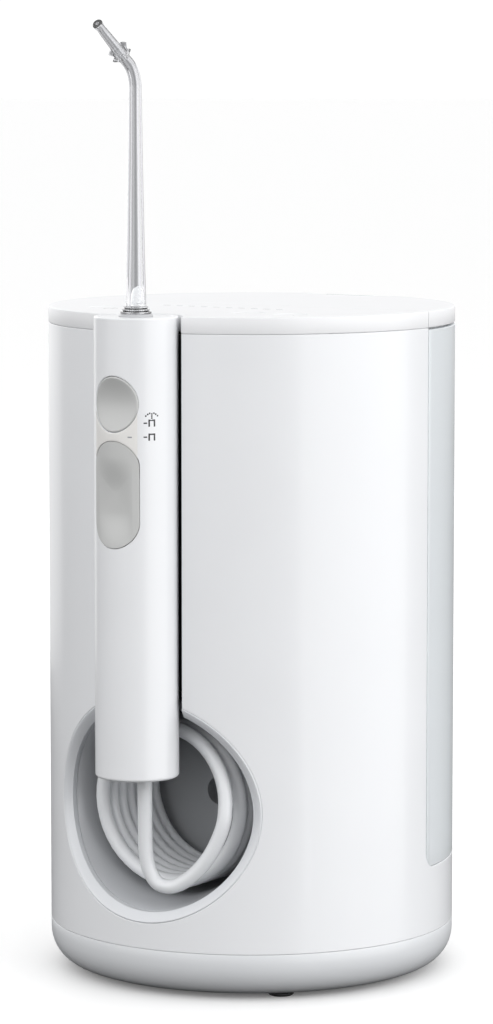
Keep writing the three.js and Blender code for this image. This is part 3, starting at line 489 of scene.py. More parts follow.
def boolean(obj, cutter, kind="DIFFERENCE"):
    """Cuts or joins obj with a closed helper mesh, which is then removed."""
    change = obj.modifiers.new("cut", "BOOLEAN")
    change.operation = kind
    change.object = cutter
    change.solver = "EXACT"
    apply_modifiers(obj)
    mesh = cutter.data
    bpy.data.objects.remove(cutter)
    bpy.data.meshes.remove(mesh)


def cut_round(obj, profile, **shape):
    """Cuts a solid of revolution out of obj; shape goes to revolve()."""
    boolean(obj, revolve("helper", profile, None, **shape))


def join_round(obj, profile, **shape):
    """Joins a solid of revolution to obj; shape goes to revolve()."""
    boolean(obj, revolve("helper", profile, None, **shape), "UNION")


def apply_modifiers(obj):
    bpy.context.view_layer.update()
    graph = bpy.context.evaluated_depsgraph_get()
    mesh = bpy.data.meshes.new_from_object(obj.evaluated_get(graph), depsgraph=graph)
    old = obj.data
    obj.modifiers.clear()
    obj.data = mesh
    bpy.data.meshes.remove(old)


def sweep(name, path, radius, material, sides):
    """A round tube along millimetre points."""
    p = np.array(path, float)
    ahead = np.gradient(p, axis=0)
    ahead /= np.linalg.norm(ahead, axis=1)[:, None]
    side = np.cross(ahead[0], (1, 0, 0))
    points = []
    for spot, way in zip(p, ahead):
        side = side - way * side.dot(way)
        side /= np.linalg.norm(side)
        other = np.cross(way, side)
        for a in full_turn(sides):
            points.append(tuple(spot + radius * (math.cos(a) * side + math.sin(a) * other)))
    faces = []
    for a in range(0, len(points) - sides, sides):
        for k in range(sides):
            j = (k + 1) % sides
            faces.append((a + k, a + j, a + sides + j, a + sides + k))
    faces.append(tuple(reversed(range(sides))))
    faces.append(tuple(range(len(points) - sides, len(points))))
    return mesh_object(name, points, faces, material, 50)


def catmull(points, steps):
    """A smooth run through the points, with that many steps between neighbours."""
    p = np.array(points, float)
    p = np.vstack([2 * p[0] - p[1], p, 2 * p[-1] - p[-2]])
    out = []
    for i in range(1, len(p) - 2):
        a, b, c, d = p[i - 1 : i + 3]
        for t in np.arange(steps) / steps:
            bend = (2 * a - 5 * b + 4 * c - d) * t * t + (3 * b - a - 3 * c + d) * t**3
            out.append(0.5 * (2 * b + (c - a) * t + bend))
    out.append(p[-2])
    return np.array(out)


def stands_for(obj, body, slot, *nodes):
    """A finished piece: the body it rides on, its finish (not used), and the CAD nodes that it shows.
    """
    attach(obj, body)
    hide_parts(*nodes)


# ------------------------------------------------------------------ camera
CAMERA_AZIMUTH = math.radians(32)
CAMERA_DISTANCE = 1317.4
CAMERA_HEIGHT = 293.4
CAMERA_PITCH = 0.113
FOCAL_LENGTHS_PER_FRAME = 4187.2 / 1024
SHIFT_X = -0.0051


def make_camera():
    data = bpy.data.cameras.new("camera")
    data.sensor_width = 36
    data.lens = FOCAL_LENGTHS_PER_FRAME * data.sensor_width
    data.shift_x = SHIFT_X
    data.clip_start = 0.05
    data.clip_end = 20
    camera = bpy.data.objects.new("camera", data)
    bpy.context.scene.collection.objects.link(camera)
    across = CAMERA_DISTANCE * math.sin(CAMERA_AZIMUTH)
    back = -CAMERA_DISTANCE * math.cos(CAMERA_AZIMUTH)
    camera.location = put(across, back, CAMERA_HEIGHT)
    camera.rotation_euler = (math.pi / 2 - CAMERA_PITCH, 0, CAMERA_AZIMUTH)
    bpy.context.scene.camera = camera


# ------------------------------------------------------------------ hose
HOSE_D = 4.5
COIL_R = 24.5
COIL_Z = 57.9
COIL_TURNS = 7.25
POINTS_PER_TURN = 48
LEAD_DROP = [
    (-0.3, -61.3, 69),
    (-0.3, -61.3, 60),
    (-0.3, -61.2, 52),
    (-0.2, -61, 45),
    (0.7, -60.5, 39.3),
    (3.6, -59.7, 35),
    (9.2, -58.6, 34.8),
    (16, -57.3, 39.6),
    (21.6, -56, 47.6),
]
STEPS_PER_LEAD_POINT = 8


def coil_y(turns):
    """The coil's way into the recess: a quick step behind the loop, then an even pitch."""
    return -54.6 + 4.6 * turns + 4.3 * (1 - math.exp(-turns / 0.14))


def coil_point(turns):
    angle = 2 * math.pi * turns
    return (COIL_R * math.cos(angle), coil_y(turns), COIL_Z + COIL_R * math.sin(angle))


def hose_path():
    first = coil_point(0)
    lead = catmull([*LEAD_DROP, first, coil_point(1 / 12)], STEPS_PER_LEAD_POINT)
    lead = lead[: STEPS_PER_LEAD_POINT * len(LEAD_DROP)]
    steps = round(COIL_TURNS * POINTS_PER_TURN)
    coil = [coil_point(COIL_TURNS * i / steps) for i in range(steps + 1)]
    return np.vstack([lead, coil])


def make_hose():
    path = hose_path()
    hose = sweep("hose", path, HOSE_D / 2, HOSE_PLASTIC, 18)
    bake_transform(hose)
    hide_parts("hose_lead", "hose_coil")


# ------------------------------------------------------------------ housing
def recess_run(from_u):
    """The recess's opening on the unrolled housing, from the groove's right side to its left."""
    a, b = CUP_RIM_A + 0.05, CUP_RIM_B + 0.05
    start = math.acos(BODY_R * math.sin(from_u / BODY_R) / a)
    points = []
    for t in np.linspace(start, -math.pi - start, 150):
        x = a * math.cos(t)
        points.append((BODY_R * math.asin(x / BODY_R), CUP_Z + b * math.sin(t)))
    return points


def groove_half_width():
    """Distance along the housing's surface from its front line to the groove's edge."""
    cosine = (BODY_R**2 + HANDLE_Y**2 - GROOVE_R**2) / (2 * BODY_R * abs(HANDLE_Y))
    return BODY_R * math.acos(cosine)


SEAM_ROUNDING = 0.18


def make_front_shell():
    """The housing's wall below the tank and in front of it, open round the recess and the groove."""
    half = math.pi * BODY_R
    side = half / 2
    low, ring = BASE_SEAM + HAIRLINE / 2, RING_TOP - HAIRLINE
    top = COVER_SEAM - HAIRLINE / 2
    groove = groove_half_width()
    corner = TANK_CORNER
    right = joined(
        line((half, ring), (side + corner, ring), 4),
        arc((side + corner, ring + corner), corner, 270, 180, 10),
        line((side, ring + corner), (side, top), 4),
        line((side, top), (groove, top), 2),
        line((groove, top), recess_run(groove)[0], 3),
    )
    left = [(-u, v) for u, v in reversed(right)]
    upper = joined(right, recess_run(groove), left)
    lower = line((-half, low), (half, low), 2)
    chains = [(upper, False, SEAM_ROUNDING), (lower, False, SEAM_ROUNDING)]
    ends = (low + SEAM_ROUNDING, ring - SEAM_ROUNDING)
    seams = [((u, ends[0]), (u, ends[1])) for u in (-half, half)]
    place = around(BODY_R, 0)
    grid = (1.7, 3.4)
    shell = panel("front_shell_skin", chains, place, WALL, grid, WHITE_PLASTIC, seams=seams)
    true_normals(shell, on_cylinder(BODY_R, 0))
    stands_for(shell, "root", "white_shell", "front_shell")


FOOT_FILLET = (9.3, 10.5)
FOOT_FILLET_STEPS = 12


def make_base_tray():
    """The dished base, with a boss and a hole for each screw and a hole for each foot."""
    floor = UNDERSIDE
    wide, tall = FOOT_FILLET
    fillet = []
    for i in range(FOOT_FILLET_STEPS + 1):
        a = math.pi / 2 * i / FOOT_FILLET_STEPS
        fillet.append((BODY_R - wide * (1 - math.sin(a)), floor + tall * (1 - math.cos(a))))
    lip = BASE_SEAM - HAIRLINE / 2
    outside = [(0, floor), (20, floor), (40, floor), *fillet, (BODY_R, lip - 0.2)]
    lip_edge = [(BODY_R - 0.06, lip - 0.06), (BODY_R - 0.2, lip)]
    within = [(BODY_R - WALL, lip), (BODY_R - WALL, 12), (54, floor + WALL), (0, floor + WALL)]
    tray = revolve("base_tray_skin", [*outside, *lip_edge, *within], BASE_PLASTIC, sides=192)
    for i in range(1, 5):
        centre = plan_centre(f"base_screw_{i}")
        join_round(tray, rod(4.4, floor + 1.5, 9), centre=centre, sides=40)
        cut_round(tray, rod(2.9, 0, 6), centre=centre, sides=40)
        cut_round(tray, rod(1.7, 0, 12), centre=centre, sides=32)
        cut_round(tray, rod(1.7, 0, 6), centre=plan_centre(f"foot_{i}"), sides=32)
    resharpen(tray)
    stands_for(tray, "root", "white_shell", "base_tray")


TOP_KEYS = ("power_button", "minus_button", "plus_button")
MARK_Y = -17.0
MARK_LENGTH = 2.8
MARK_COUNT = 10
MARK_SPACING = 4.6
LAMP_BAR_TOP = 206.3
KEY_FLANGE = 1.2
KEY_HOLLOW = 0.35


def key_place(name):
    """A key's centre, and its radius above the flange that holds it in."""
    low, high = size_mm(name)[0]
    return (*plan_centre(name), (high - low) / 2 - KEY_FLANGE)


def mark_xs():
    return [(i - (MARK_COUNT - 1) / 2) * MARK_SPACING for i in range(MARK_COUNT)]


def slot_outline(x, y, half_length, half_width):
    """A slot with round ends, running clockwise as a hole does."""
    right = arc((x + half_length - half_width, y), half_width, 90, -90, 8)
    left = arc((x - half_length + half_width, y), half_width, -90, -270, 8)
    return closed(joined(right, left, [right[0]]))


def make_top_cover():
    """The front half of the top, notched for the handle, with holes for the keys and level ticks."""
    half = groove_half_width() / BODY_R
    notch_y = -BODY_R * math.cos(half) - HANDLE_Y
    start = math.degrees(math.atan2(notch_y, -BODY_R * math.sin(half)))
    notch = arc((0, HANDLE_Y), GROOVE_R, start, 180 - start, 36)
    half = math.degrees(half)
    turn = math.degrees(math.asin(LID_GAP / BODY_R))
    left = arc((0, 0), BODY_R, -180 + turn, -90 - half, 60)
    right = arc((0, 0), BODY_R, -90 + half, -turn, 60)
    back = line(right[-1], left[0], 3)
    chains = [(closed(joined(left, notch, right, back)), True, 0.25)]
    for name in TOP_KEYS:
        x, y, radius = key_place(name)
        chains.append((closed(arc((x, y), radius + 0.2, 360, 0, 48)), True, 0.25))
    for x in mark_xs():
        chains.append((slot_outline(x, MARK_Y, MARK_LENGTH / 2 + 0.1, 0.62), True, 0.12))
    wall = BODY_TOP - COVER_SEAM - HAIRLINE / 2
    cover = panel("top_cover_skin", chains, level(BODY_TOP), wall, (3, 3), COVER_PLASTIC)
    stands_for(cover, "root", "white_shell", "top_cover")


def make_top_keys():
    """The three keys on top, each dished and with its sign printed on it."""
    for name in TOP_KEYS:
        x, y, radius = key_place(name)
        flange = radius + KEY_FLANGE
        top = BODY_TOP - 0.1
        dish = [(r, top - key_hollow(r, radius)) for r in np.linspace(0, radius - 0.4, 8)]
        profile = [(0, 203.2), (radius, 203.2), (radius, 204.3), (flange, 204.3)]
        profile += [(flange, 204.7), (radius, 204.7), (radius, top - 0.4)]
        profile += [(radius - 0.12, top - 0.12), *reversed(dish)]
        key = revolve(name + "_cap", profile, COVER_PLASTIC, (x, y), 64)
        body = name.split("_")[0] + "_key"
        stands_for(key, body, "grey_trim", name)
        face = dished_face(x, y, radius, top)
        chains = [(outline, True, 0.02) for outline in KEY_SIGNS[name]]
        sign = panel(name + "_sign", chains, face, 0.08, (1, 1), SIGN_INK, 1)
        stands_for(sign, body, "dark_plastic", name)


def key_hollow(r, radius):
    """How far a key's dished face lies under its edge."""
    return KEY_HOLLOW * (1 - (r / radius) ** 2)


def dished_face(x, y, radius, top):
    """place() for a sign printed on a key's dished face."""

    def place(u, v, depth):
        return (x + u, y + v, top - key_hollow(math.hypot(u, v), radius) + 0.02 - depth)

    return place


def bar_outline(u0, u1, v0, v1):
    """A rectangle by its corners only."""
    return [(u0, v0), (u1, v0), (u1, v1), (u0, v1)]


def cross_outline(reach, half):
    corner = [(reach, -half), (reach, half), (half, half)]
    turns = [(1, 0), (0, 1), (-1, 0), (0, -1)]
    return [(u * c - v * d, u * d + v * c) for c, d in turns for u, v in corner]


def broken_ring(radius, stroke):
    outer = arc((0, 0), radius, 120, 420, 40)
    inner = arc((0, 0), radius - stroke, 420, 120, 40)
    return outer + inner


KEY_SIGNS = {
    "power_button": [broken_ring(2.3, 0.5), bar_outline(-0.25, 0.25, 0.5, 2.9)],
    "minus_button": [bar_outline(-1.6, 1.6, -0.25, 0.25)],
    "plus_button": [cross_outline(1.6, 0.25)],
}


def make_lamp_bar():
    xs = mark_xs()
    for i, x in enumerate(xs):
        outline = slot_outline(x, MARK_Y, MARK_LENGTH / 2, 0.52)
        chains = [(list(reversed(outline)), True, 0.1)]
        ink = MARK_INK if i % 2 == 0 else LENS_PLASTIC
        lens = panel(f"level_lens_{i + 1}", chains, level(BODY_TOP - 0.04), 3.2, (1, 1), ink)
        stands_for(lens, "root", "lamp_lens", "level_lamp_bar")
    ends = xs[-1] + 3
    chains = [(rectangle(-ends, ends, MARK_Y - 2, MARK_Y + 2, 4), True, 0.3)]
    bar = panel("level_lamp_base", chains, level(LAMP_BAR_TOP), 2, (4, 2), NYLON)
    stands_for(bar, "root", "lamp_lens", "level_lamp_bar")


def rectangle(x0, x1, y0, y1, spacing):
    """A rectangle with points along its sides, for a panel that is bent."""
    corners = [(x0, y0), (x1, y0), (x1, y1), (x0, y1), (x0, y0)]
    return closed(joined(*(line(a, b, spacing) for a, b in zip(corners, corners[1:]))))


def cup_ring(a, b, depth_at):
    """An oval ring round the recess's axis, seen from the front, at the depth for each x."""
    points = []
    for t in full_turn(180):
        x = a * math.cos(t)
        points.append((x, depth_at(x), CUP_Z + b * math.sin(t)))
    return points


def flat_ring(radius, y):
    return cup_ring(radius, radius, lambda x: y)


def sunk_ring(a, b, depth):
    """A ring that follows the housing's round surface, at a depth under it."""
    return cup_ring(a, b, lambda x: surface_y(x) + depth)


def surface_y(x):
    """y of the housing's front surface at x."""
    return -math.sqrt(BODY_R**2 - x * x)


def loft(name, rings, material, smooth=35):
    """A closed surface through rings of equal count; a ring of one point closes an end."""
    points = []
    starts = []
    for ring in rings:
        starts.append(len(points))
        points.extend(ring)
    faces = []
    for i in range(len(rings) - 1):
        below, above = len(rings[i]), len(rings[i + 1])
        for j in range(max(below, above)):
            a = starts[i] + j % below
            b = starts[i] + (j + 1) % below
            c = starts[i + 1] + j % above
            d = starts[i + 1] + (j + 1) % above
            faces.append(tuple(dict.fromkeys((a, b, d, c))))
    return mesh_object(name, points, faces, material, smooth)


BEZEL_WIDTH = 3.4
BEZEL_DEPTH = 2.3
OVAL = 0.92
CUP_MOUTH = 4.5
CUP_THROAT_R = 29.4
CUP_THROAT_Y = -42
CUP_FLOOR_R = 27.6
CUP_FILLET = 1.5
SOCKET_PLACE = (-3.2, 56.3)
STEM_X = -4


def clear_groove(obj):
    """Cuts the handle's groove out of a piece round the recess."""
    cut_round(obj, rod(GROOVE_R, 60, 230), centre=(0, HANDLE_Y), sides=128)


def make_bezel():
    """The grey ring round the recess, chamfered inwards with a crisp inner edge."""
    profile = [(0, 4.4), (0, 0.4), (0.12, 0.12), (0.4, 0)]
    for step in np.linspace(0.15, 1, 7):
        profile.append((0.4 + (BEZEL_WIDTH - 0.6) * step, BEZEL_DEPTH * step**1.25))
    profile += [(BEZEL_WIDTH - 0.05, BEZEL_DEPTH + 0.15), (BEZEL_WIDTH, BEZEL_DEPTH + 0.5)]
    profile += [(BEZEL_WIDTH, 4.4), (0, 4.4)]
    rings = [sunk_ring(CUP_RIM_A - s, CUP_RIM_B - s * OVAL, depth) for s, depth in profile]
    bezel = loft("hose_bezel", rings, BEZEL_PLASTIC)
    clear_groove(bezel)
    resharpen(bezel, 30)
    stands_for(bezel, "root", "cup_grey", "hose_cup")


def make_cup():
    """The recess: a funnel from the bezel to a round throat and floor, with the hose's sockets."""
    a, b = CUP_RIM_A - 0.3, CUP_RIM_B - 0.3
    lip_a, lip_b = a - BEZEL_WIDTH + 0.25, b - BEZEL_WIDTH * OVAL + 0.25
    rings = [[(0, CUP_BACK_Y + 2, CUP_Z)], flat_ring(29.6, CUP_BACK_Y + 2)]
    rings += [flat_ring(31.4, CUP_THROAT_Y), sunk_ring(a, b, 6.2)]
    rings += [sunk_ring(a, b, CUP_MOUTH), sunk_ring(lip_a, lip_b, CUP_MOUTH)]
    for share in np.linspace(0.06, 1, 12):
        bow = share**0.9
        ring_a = lip_a + (CUP_THROAT_R - lip_a) * bow
        ring_b = lip_b + (CUP_THROAT_R - lip_b) * bow
        rings.append(cup_ring(ring_a, ring_b, lambda x, s=share: funnel_y(x, s)))
    for y in np.linspace(-38, CUP_BACK_Y - CUP_FILLET, 6):
        rings.append(flat_ring(CUP_THROAT_R - 1.8 * (y - CUP_THROAT_Y) / 28, y))
    for t in np.radians((22.5, 45, 67.5, 90)):
        y = CUP_BACK_Y - CUP_FILLET * (1 - math.sin(t))
        rings.append(flat_ring(CUP_FLOOR_R - CUP_FILLET * (1 - math.cos(t)), y))
    rings += [flat_ring(12, CUP_BACK_Y), [(0, CUP_BACK_Y, CUP_Z)]]
    cup = loft("hose_cup_skin", rings, cup_plastic_painted_shade())
    join_round(cup, rod(6, 6, 13.5), sides=48, turn=along_y(*SOCKET_PLACE))
    cut_round(cup, rod(4.5, 7.5, 16), sides=64, turn=along_y(*SOCKET_PLACE))
    cut_round(cup, rod(2.3, 9, 16), sides=32, turn=along_y(STEM_X, COIL_Z + COIL_R))
    clear_groove(cup)
    resharpen(cup, 40)
    stands_for(cup, "root", "cup_grey", "hose_cup")


def funnel_y(x, share):
    """Depth of the recess's side wall, from behind the bezel (0) to its narrowest ring (1)."""
    return (surface_y(x) + CUP_MOUTH) * (1 - share) + CUP_THROAT_Y * share


def make_elbow():
    z = COIL_Z + COIL_R
    socket = [(0, -6.2), (2.4, -6.2), (2.55, -4), (2.55, -0.4), (2.2, -0.2), (0, -0.2)]
    turn = along_x(coil_y(COIL_TURNS), z)
    elbow = revolve("hose_elbow_skin", rounded(socket, 0.3), DARK_PLASTIC, sides=40, turn=turn)
    join_round(elbow, rod(1.9, 6.2, 17), sides=32, turn=along_y(STEM_X, z))
    barb = [(0, -11), (1.5, -11), (1.9, -9.8), (1.6, -9.8), (1.9, -8.4), (1.9, -4), (0, -4)]
    join_round(elbow, barb, sides=32, turn=along_x(-8, z))
    resharpen(elbow)
    stands_for(elbow, "root", "dark_plastic", "hose_elbow")


LINER_R = GROOVE_R + 0.05


def make_cradle():
    """The liner behind the handle's groove, in dark plastic as painted shade for the shadowed gap round
    the handle.
    """

    def place(u, v, depth):
        angle = u / GROOVE_R
        r = LINER_R + depth
        return (r * math.sin(angle), HANDLE_Y + r * math.cos(angle), v)

    half = math.pi * LINER_R * 0.36
    outline = rectangle(-half, half, CUP_Z + 36, COVER_SEAM - 0.8, 2)
    # painted shade: the dark plastic stands in for the shadow in the narrow gap, not for a dark part
    liner = panel("groove_shade_liner", [(outline, True, 0.3)], place, 1.9, (1.5, 4), DARK_PLASTIC)
    stands_for(liner, "root", "dark_plastic", "handle_cradle")


def make_foot(index):
    profile = [(0, 0.15), (2.2, 0.0), (3.5, 0.0), (4, 0.45), (4, 1.1), (1.5, 1.1), (1.5, 4.6), (0, 4.6)]
    name = f"foot_{index}"
    pad = revolve("rubber_" + name, rounded(profile, 0.25), RUBBER, plan_centre(name), 48)
    stands_for(pad, "root", "black_rubber", name)


def make_screw(index):
    """A base screw with a cross recess in its head."""
    name = f"base_screw_{index}"
    x, y = plan_centre(name)
    head = [(0, 3.2), (2.1, 3.2), (2.6, 3.7), (2.6, 5.7), (1.4, 5.7), (1.4, 17), (0, 17)]
    screw = revolve(f"screw_{index}", rounded(head, 0.15), STEEL, (x, y), 40)
    for wide, deep in ((1.5, 0.28), (0.28, 1.5)):
        boolean(screw, helper_box(x - wide, x + wide, y - deep, y + deep, 2.5, 4.4))
    resharpen(screw)
    stands_for(screw, "root", "steel", name)


def helper_box(x0, x1, y0, y1, z0, z1):
    points = [(x, y, z) for x in (x0, x1) for y in (y0, y1) for z in (z0, z1)]
    faces = [(0, 1, 3, 2), (4, 6, 7, 5), (0, 4, 5, 1), (2, 3, 7, 6), (0, 2, 6, 4), (1, 5, 7, 3)]
    return mesh_object("helper", points, faces, None)


INLET_Z = 25


def make_inlet_gland():
    """The mains lead's gland at the back of the housing."""
    profile = [(2.2, 57.5), (2.2, 64.3), (2.5, 64.6), (3.4, 64.6), (4.2, 64.1), (4.3, 61.2)]
    profile += [(6.2, 61.2), (6.2, 57.5), (2.2, 57.5)]
    gland = revolve("inlet_gland", profile, RUBBER, sides=48, turn=along_back(0, INLET_Z))
    stands_for(gland, "root", "grey_trim", "power_inlet_gland")


# ------------------------------------------------------------------ tank
LID_PIVOT_Y = 60.5
LID_PIVOT_Z = 207.3
TANK_RIM = 204.0
TANK_FRONT_Y = 0.4
TANK_FLOOR_Z = RING_TOP + 0.12
TANK_WALL = 2
ROOM_FRONT_Y = 2.15
ROOM_FLOOR_Z = 38.5
VALVE_PLACE = (0, 22)
KNUCKLE_R = 2.3
PIN_BORE_R = 1.2


def half_round_block(name, radius, y0, z0, z1, material, steps=96):
    """A block with a half-round plan behind y0, as clean quads and two end faces."""
    turn = math.asin(y0 / radius)
    angles = np.linspace(turn, math.pi - turn, steps + 1)
    plan = [(radius * math.cos(a), radius * math.sin(a)) for a in angles]
    count = len(plan)
    points = [(x, y, z0) for x, y in plan] + [(x, y, z1) for x, y in plan]
    faces = [tuple(range(count - 1, -1, -1)), tuple(range(count, 2 * count))]
    for i in range(count):
        j = (i + 1) % count
        faces.append((i, j, count + j, count + i))
    return mesh_object(name, points, faces, material)


def bevel_where(obj, chosen, width, segments):
    """Rounds the edges that chosen(a, b) picks by their ends, in housing millimetres."""

    def spot(v):
        return (v.co.x / MM, v.co.y / MM - AXIS_Y, v.co.z / MM)

    work = bmesh.new()
    work.from_mesh(obj.data)
    edges = [e for e in work.edges if chosen(spot(e.verts[0]), spot(e.verts[1]))]
    bmesh.ops.bevel(
        work, geom=edges, offset=width * MM, segments=segments, profile=0.5, affect="EDGES"
    )
    work.to_mesh(obj.data)
    work.free()


def make_tank():
    """The half-round tank: a hollow block, its hinge knuckle, and the valve's spigot below."""
    y, z = TANK_FRONT_Y, TANK_FLOOR_Z

    def front_low(*ends):
        return all(abs(p[1] - y) < 0.01 and abs(p[2] - z) < 0.01 for p in ends)

    tank = half_round_block("tank_body_skin", BODY_R, y, z, TANK_RIM, tank_plastic())
    bevel_where(tank, front_low, TANK_CORNER, 8)
    room_r = BODY_R - TANK_WALL
    boolean(tank, half_round_block("helper", room_r, ROOM_FRONT_Y, ROOM_FLOOR_Z, 230, None))
    cut = tank.modifiers.new("edges", "BEVEL")
    cut.width = 0.35 * MM
    cut.segments = 2
    cut.limit_method = "ANGLE"
    cut.angle_limit = math.radians(50)
    apply_modifiers(tank)
    axis = along_x(LID_PIVOT_Y, LID_PIVOT_Z)
    boolean(tank, helper_box(-9, 9, 58.2, 62.6, 198, LID_PIVOT_Z), "UNION")
    join_round(tank, rounded(rod(KNUCKLE_R, -9, 9), 0.3), sides=48, turn=axis)
    spigot = [(0, 29.5), (6.1, 29.5), (6.4, 29.9), (6.4, 37), (0, 37)]
    join_round(tank, spigot, centre=VALVE_PLACE, sides=64)
    cut_round(tank, rod(4.6, 29, 42), centre=VALVE_PLACE, sides=48)
    boolean(tank, helper_box(-5, 5, 21, 23, 35, 37), "UNION")
    cut_round(tank, rod(1.6, 29, 42), centre=VALVE_PLACE, sides=32)
    cut_round(tank, rod(PIN_BORE_R, -30, 30), sides=24, turn=axis)
    resharpen(tank, 40)
    true_normals(tank, on_cylinder(BODY_R, 0))
    stands_for(tank, "tank", "clear_tank", "tank_body")


def make_lid():
    """The tank's lid, notched round its hinge, with two knuckles and the pin through them."""
    turn = math.degrees(math.asin(LID_GAP / BODY_R))
    reach = 15.2
    back = LID_PIVOT_Y - 2.8
    edge_angle = math.degrees(math.acos(reach / BODY_R))
    right = arc((0, 0), BODY_R, turn, edge_angle, 60)
    left = arc((0, 0), BODY_R, 180 - edge_angle, 180 - turn, 60)
    notch = [right[-1], (reach, back), (-reach, back), left[0]]
    notch = [line(a, b, 2) for a, b in zip(notch, notch[1:])]
    chains = [(closed(joined(right, *notch, left, line(left[-1], right[0], 3))), True, 0.35)]
    wall = BODY_TOP - COVER_SEAM - HAIRLINE / 2
    lid = panel("tank_lid_skin", chains, level(BODY_TOP), wall, (3, 3), COVER_PLASTIC)
    y, z = LID_PIVOT_Y, LID_PIVOT_Z
    axis = along_x(y, z)
    for low, high in ((9.3, 15), (-15, -9.3)):
        boolean(lid, helper_box(low, high, y - 4, y, z - 2.2, z + 2.2), "UNION")
        join_round(lid, rounded(rod(KNUCKLE_R, low, high), 0.3), sides=48, turn=axis)
    cut_round(lid, rod(PIN_BORE_R, -30, 30), sides=24, turn=axis)
    resharpen(lid)
    stands_for(lid, "lid", "white_shell", "tank_lid")
    pin = revolve("hinge_pin", rounded(rod(1, -14.8, 14.8), 0.2), STEEL, sides=32, turn=axis)
    stands_for(pin, "tank", "steel", "lid_hinge_pin")


# ------------------------------------------------------------------ handle
RELEASE_Z = 183.9
RELEASE_A = 7.7
RELEASE_B = 8.5
SWITCH_LOW, SWITCH_HIGH = 140.4, 172.8
SWITCH_HALF = 7.8


def unrolled(x, z):
    """A point seen from the front, on the unrolled handle."""
    return (HANDLE_R * math.asin(x / HANDLE_R), z)


def ellipse_hole(a, b, z):
    """An oval seen from the front, unrolled on the handle, running clockwise."""
    turn = np.linspace(2 * math.pi, 0, 73)[:-1]
    return [unrolled(a * math.cos(t), z + b * math.sin(t)) for t in turn]


def make_sleeve():
    half = math.pi * HANDLE_R
    low, high = HANDLE_BOTTOM, HANDLE_TOP
    bottom = line((-half, low), (half, low), 1.1)
    top = line((half, high), (-half, high), 1.1)
    window = [unrolled(x, z) for x, z in stadium(1.012)]
    chains = [(bottom, False, 1.0), (top, False, 0.5)]
    chains.append((ellipse_hole(RELEASE_A, RELEASE_B, RELEASE_Z), True, 0.3))
    chains.append((list(reversed(window)), True, 0.12))
    seams = [((u, low + 1.0), (u, high - 0.5)) for u in (-half, half)]
    place = around(HANDLE_R, HANDLE_Y)
    wall = HANDLE_R - BORE_R
    grid = (1.1, 2.2)
    sleeve = panel("handle_skin", chains, place, wall, grid, WHITE_PLASTIC, 5, seams)
    true_normals(sleeve, on_cylinder(HANDLE_R, HANDLE_Y))
    stands_for(sleeve, "handle", "white_shell", "handle_sleeve")


MARK_STROKE = 0.5
MARK_LEFT = 9.7
MARK_HEIGHTS = (174.2, 178.4)
DOT_HALF = 0.24


def gate_outline(u, v, size):
    """An upside-down U."""
    low, high = MARK_STROKE, size - MARK_STROKE
    corners = [(0, 0), (low, 0), (low, high), (high, high), (high, 0), (size, 0), (size, size)]
    return [(u + a, v + b) for a, b in [*corners, (0, size)]]


def make_setting_marks():
    """Two generic setting signs printed beside the thumb switch, the upper with a dotted spray."""
    outlines = []
    for z in MARK_HEIGHTS:
        outlines.append(bar_outline(MARK_LEFT, MARK_LEFT + 1.1, z - 0.21, z + 0.21))
        outlines.append(gate_outline(MARK_LEFT + 1.5, z - 1.1, 2.2))
    centre = MARK_LEFT + 2.6
    top = MARK_HEIGHTS[1] + 1.5
    dots = [(centre, top), (centre, top + 0.62), (centre, top + 1.24)]
    for share in (-1, -0.68, -0.36, 0.36, 0.68, 1):
        dots.append((centre + 1.9 * share, top + 1.55 - 0.9 * share * share))
    for u, v in dots:
        outlines.append(bar_outline(u - DOT_HALF, u + DOT_HALF, v - DOT_HALF, v + DOT_HALF))
    place = around(HANDLE_R + 0.02, HANDLE_Y)
    chains = [(outline, True, 0.02) for outline in outlines]
    marks = panel("setting_marks", chains, place, 0.07, (0.6, 0.6), MARK_INK, 1)
    stands_for(marks, "handle", "dark_plastic", "handle_sleeve")


def make_handle_caps():
    centre = (0, HANDLE_Y)
    inner = BORE_R - 0.1
    plug = rounded(rod(inner, HANDLE_BOTTOM + 0.2, 73), 0.25)
    bottom = revolve("bottom_cap", plug, WHITE_PLASTIC, centre)
    cut_round(bottom, rod(3.4, 60, 80), centre=(HOSE_EXIT_X, HOSE_EXIT_Y), sides=48)
    resharpen(bottom)
    stands_for(bottom, "handle", "white_shell", "handle_bottom_cap")
    high = HANDLE_TOP - 0.15
    ring = [(5.4, 206.6), (5.4, high), (inner, high), (inner, 206.6), (5.4, 206.6)]
    top = revolve("top_cap", rounded(ring, 0.25), WHITE_PLASTIC, centre)
    stands_for(top, "handle", "white_shell", "handle_top_cap")


def make_nozzle_collar():
    seat = [(3.95, 200), (8, 200), (8, 206.2), (5.2, 206.2), (5.2, 210.1), (4.7, 210.5)]
    seat = rounded([*seat, (4.0, 210.5), (3.95, 200)], 0.2)
    collar = revolve("nozzle_collar", seat, TRIM_PLASTIC, (0, HANDLE_Y), 64)
    stands_for(collar, "seat", "grey_trim", "nozzle_seat")


def make_hose_bush():
    bush = [(2.3, 69.4), (3.2, 69.4), (3.2, 73.4), (4.2, 73.4), (4.2, 75), (2.3, 75), (2.3, 69.4)]
    centre = (HOSE_EXIT_X, HOSE_EXIT_Y)
    bush = revolve("hose_bush", rounded(bush, 0.2), RUBBER, centre, 40)
    stands_for(bush, "handle", "black_rubber", "hose_gland")


def handle_depth(x):
    """y of the handle's front surface at x."""
    return HANDLE_Y - math.sqrt(HANDLE_R**2 - x * x)


RELEASE_EDGE = 0.35
RELEASE_HOLLOW = 1.9
RELEASE_DEPTH = 7


def release_ring(share, sunk):
    """A ring of the dish's outline, scaled about its middle and sunk under the grip's surface."""
    points = []
    for t in full_turn(96):
        x = (RELEASE_A - 0.12) * share * math.cos(t)
        z = (RELEASE_B - 0.12) * share * math.sin(t)
        points.append((x, handle_depth(x) + sunk, RELEASE_Z + z))
    return points


